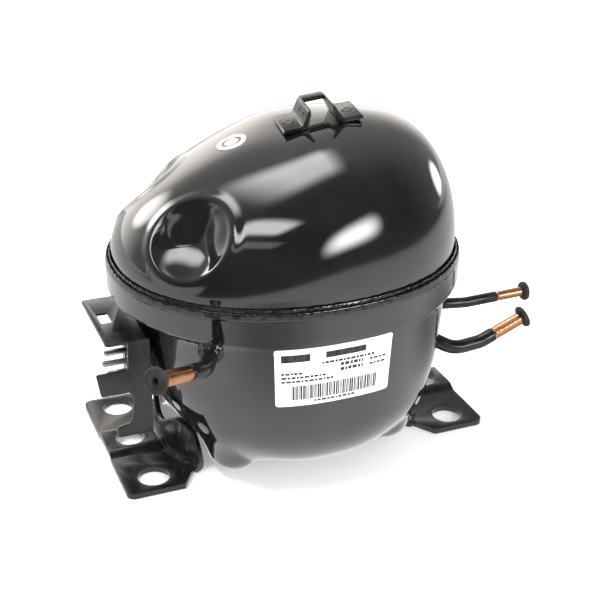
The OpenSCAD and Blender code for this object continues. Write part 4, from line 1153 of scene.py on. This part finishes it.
def reflected_floor():
    """Floor as the enamel mirrors it: bright beside the shell, with a dim patch towards the viewer."""
    obj = stage_plane("floor_mirrored", MIRRORED_HALF, MIRRORED_Z, 0.0)
    tree = obj.data.materials[0].node_tree
    nodes, links = tree.nodes, tree.links
    coord = nodes.new("ShaderNodeTexCoord")
    split = nodes.new("ShaderNodeSeparateXYZ")
    links.new(coord.outputs["Object"], split.inputs["Vector"])

    def patch(x, y, inner, outer, low, high):
        dx = math_node(tree, "SUBTRACT", split.outputs["X"], x)
        dy = math_node(tree, "SUBTRACT", split.outputs["Y"], y)
        square = math_node(tree, "ADD", times(tree, dx, dx), times(tree, dy, dy))
        return ease(tree, math_node(tree, "SQRT", square), inner, outer, low, high)

    base = patch(0.0, 0.0, 0.08, 0.5, 0.95, 0.75)
    viewer = patch(-0.09, -0.25, 0.02, 0.16, 0.40, 1.0)
    right = patch(0.20, -0.02, 0.03, 0.12, 0.35, 1.0)
    far = math_node(tree, "MAXIMUM", patch(0.0, 0.0, 0.55, 1.6, 1.0, 0.15),
                    ease(tree, split.outputs["Y"], 0.1, 0.6))
    glow = nodes.new("ShaderNodeEmission")
    links.new(times(tree, base, viewer, right, far), glow.inputs["Strength"])
    links.new(glow.outputs["Emission"], nodes["Material Output"].inputs["Surface"])
    obj.visible_camera = False
    obj.visible_diffuse = False
    obj.visible_shadow = False
    obj.visible_transmission = False


reflected_floor()


LAMP_WHITE, BEIGE = (1.0, 1.0, 0.975), (1.0, 0.93, 0.85)
HORIZON, STRIP_SLANT = 0.04, 0.346


def studio_world():
    """White surround for the view and the soft light; the enamel mirrors a dim room with soft lamps."""
    world = bpy.data.worlds.new("studio")
    bpy.context.scene.world = world
    world.use_nodes = True
    tree = world.node_tree
    nodes, links = tree.nodes, tree.links
    nodes.clear()
    out = nodes.new("ShaderNodeOutputWorld")
    coord = nodes.new("ShaderNodeTexCoord")
    way = coord.outputs["Generated"]
    split = nodes.new("ShaderNodeSeparateXYZ")
    links.new(way, split.inputs["Vector"])
    x, y, z = split.outputs["X"], split.outputs["Y"], split.outputs["Z"]
    above = math_node(tree, "MAXIMUM", z, HORIZON)
    p = math_node(tree, "DIVIDE", x, above)
    q = math_node(tree, "DIVIDE", y, above)
    slant = math_node(tree, "MULTIPLY_ADD", q, STRIP_SLANT, p)

    def disc(azimuth, elevation, inner, outer, glow):
        """Round soft lamp that fades between two angles from its middle."""
        dot = nodes.new("ShaderNodeVectorMath")
        dot.operation = "DOT_PRODUCT"
        dot.inputs[1].default_value = heading(azimuth, elevation)
        links.new(way, dot.inputs[0])
        far, near = cos(radians(outer)), cos(radians(inner))
        return ease(tree, dot.outputs["Value"], far, near, 0.0, glow)

    def window(value, low, high, soft):
        return times(tree, ease(tree, value, low - soft, low + soft),
                     ease(tree, value, high - soft, high + soft, 1.0, 0.0))

    room = ease(tree, y, -0.3, 0.7, 0.07, 0.34)
    backdrop = times(tree, ease(tree, y, 0.55, 0.98),
                     ease(tree, z, 0.22, 0.6, 1.5, 0.0))
    overhead = times(tree, window(p, -0.27, 0.25, 0.14), window(q, 0.18, 0.85, 0.16), 3.4)
    strip = times(tree, window(slant, -0.66, -0.465, 0.05), window(q, -0.58, 0.0, 0.10), 4.6)
    faint = times(tree, window(slant, -0.93, -0.79, 0.04), window(q, -0.95, -0.28, 0.08), 0.75)
    umbrella = times(tree, disc(26, 21, 3, 23, 9.0), ease(tree, z, 0.12, 0.32),
                     ease(tree, z, 0.36, 0.58, 1.0, 0.0))
    side = disc(111, 3, 2, 9, 4.5)
    rear = disc(-155, 22, 4, 12, 3.8)
    lamps = chain(tree, "ADD", room, overhead, strip, faint, umbrella, side, rear)

    def background(colour, strength=None):
        node = nodes.new("ShaderNodeBackground")
        node.inputs["Color"].default_value = (*colour, 1)
        if strength is not None:
            links.new(strength, node.inputs["Strength"])
        return node.outputs["Background"]

    mirrored = nodes.new("ShaderNodeAddShader")
    links.new(background(LAMP_WHITE, lamps), mirrored.inputs[0])
    links.new(background(BEIGE, backdrop), mirrored.inputs[1])
    path = nodes.new("ShaderNodeLightPath")
    mix_shader = nodes.new("ShaderNodeMixShader")
    links.new(path.outputs["Is Glossy Ray"], mix_shader.inputs["Fac"])
    links.new(background((1, 1, 1)), mix_shader.inputs[1])
    links.new(mirrored.outputs["Shader"], mix_shader.inputs[2])
    links.new(mix_shader.outputs["Shader"], out.inputs["Surface"])


studio_world()

OBJECT_CENTRE = Vector((0.0, 0.0, 0.11))


def softbox(name, azimuth, elevation, distance, width, height, power, colour=(1, 1, 1)):
    """Area lamp that faces the object."""
    away = heading(azimuth, elevation)
    lamp = bpy.data.lights.new(name, "AREA")
    lamp.shape = "RECTANGLE"
    lamp.size = width
    lamp.size_y = height
    lamp.energy = power
    lamp.color = colour
    obj = bpy.data.objects.new(name, lamp)
    obj.location = OBJECT_CENTRE + away * distance
    obj.rotation_euler = away.to_track_quat("Z", "Y").to_euler()
    obj.visible_glossy = False
    bpy.context.scene.collection.objects.link(obj)


GREENISH = (0.97, 1.0, 0.93)
softbox("top_box", -150, 68, 1.6, 0.75, 0.34, 22, GREENISH)
softbox("left_box", -82, 61, 1.6, 0.50, 0.16, 10, GREENISH)
softbox("front_umbrella", 24, 19, 1.7, 0.62, 0.55, 26)
softbox("right_strip", 111, 6, 1.7, 0.30, 0.14, 4)
softbox("back_left", -152, 27, 1.7, 0.30, 0.24, 6)


# Camera, matched to the photograph's view

CAMERA_AT = Vector((-0.2093, -0.5200, 0.3495))
CAMERA_BACK, CAMERA_RIGHT = Vector((-0.3469, -0.8252, 0.4459)), Vector((0.9219, -0.3875, 0.0))
CAMERA_ROLL = radians(1.11)
FOCAL_PX, PHOTO_PX, SENSOR_MM = 1204, 600, 36.0


def photo_camera():
    data = bpy.data.cameras.new("photo_camera")
    data.sensor_width = SENSOR_MM
    data.lens = FOCAL_PX / PHOTO_PX * SENSOR_MM
    data.clip_start = 0.01
    camera = bpy.data.objects.new("photo_camera", data)
    up = CAMERA_BACK.cross(CAMERA_RIGHT).normalized()
    turned_right = CAMERA_RIGHT * cos(CAMERA_ROLL) + up * sin(CAMERA_ROLL)
    turned_up = up * cos(CAMERA_ROLL) - CAMERA_RIGHT * sin(CAMERA_ROLL)
    place = Matrix((turned_right, turned_up, CAMERA_BACK.normalized())).transposed().to_4x4()
    place.translation = CAMERA_AT
    camera.matrix_world = place
    bpy.context.scene.collection.objects.link(camera)
    bpy.context.scene.camera = camera


photo_camera()
bpy.context.scene.view_settings.view_transform = "Standard"
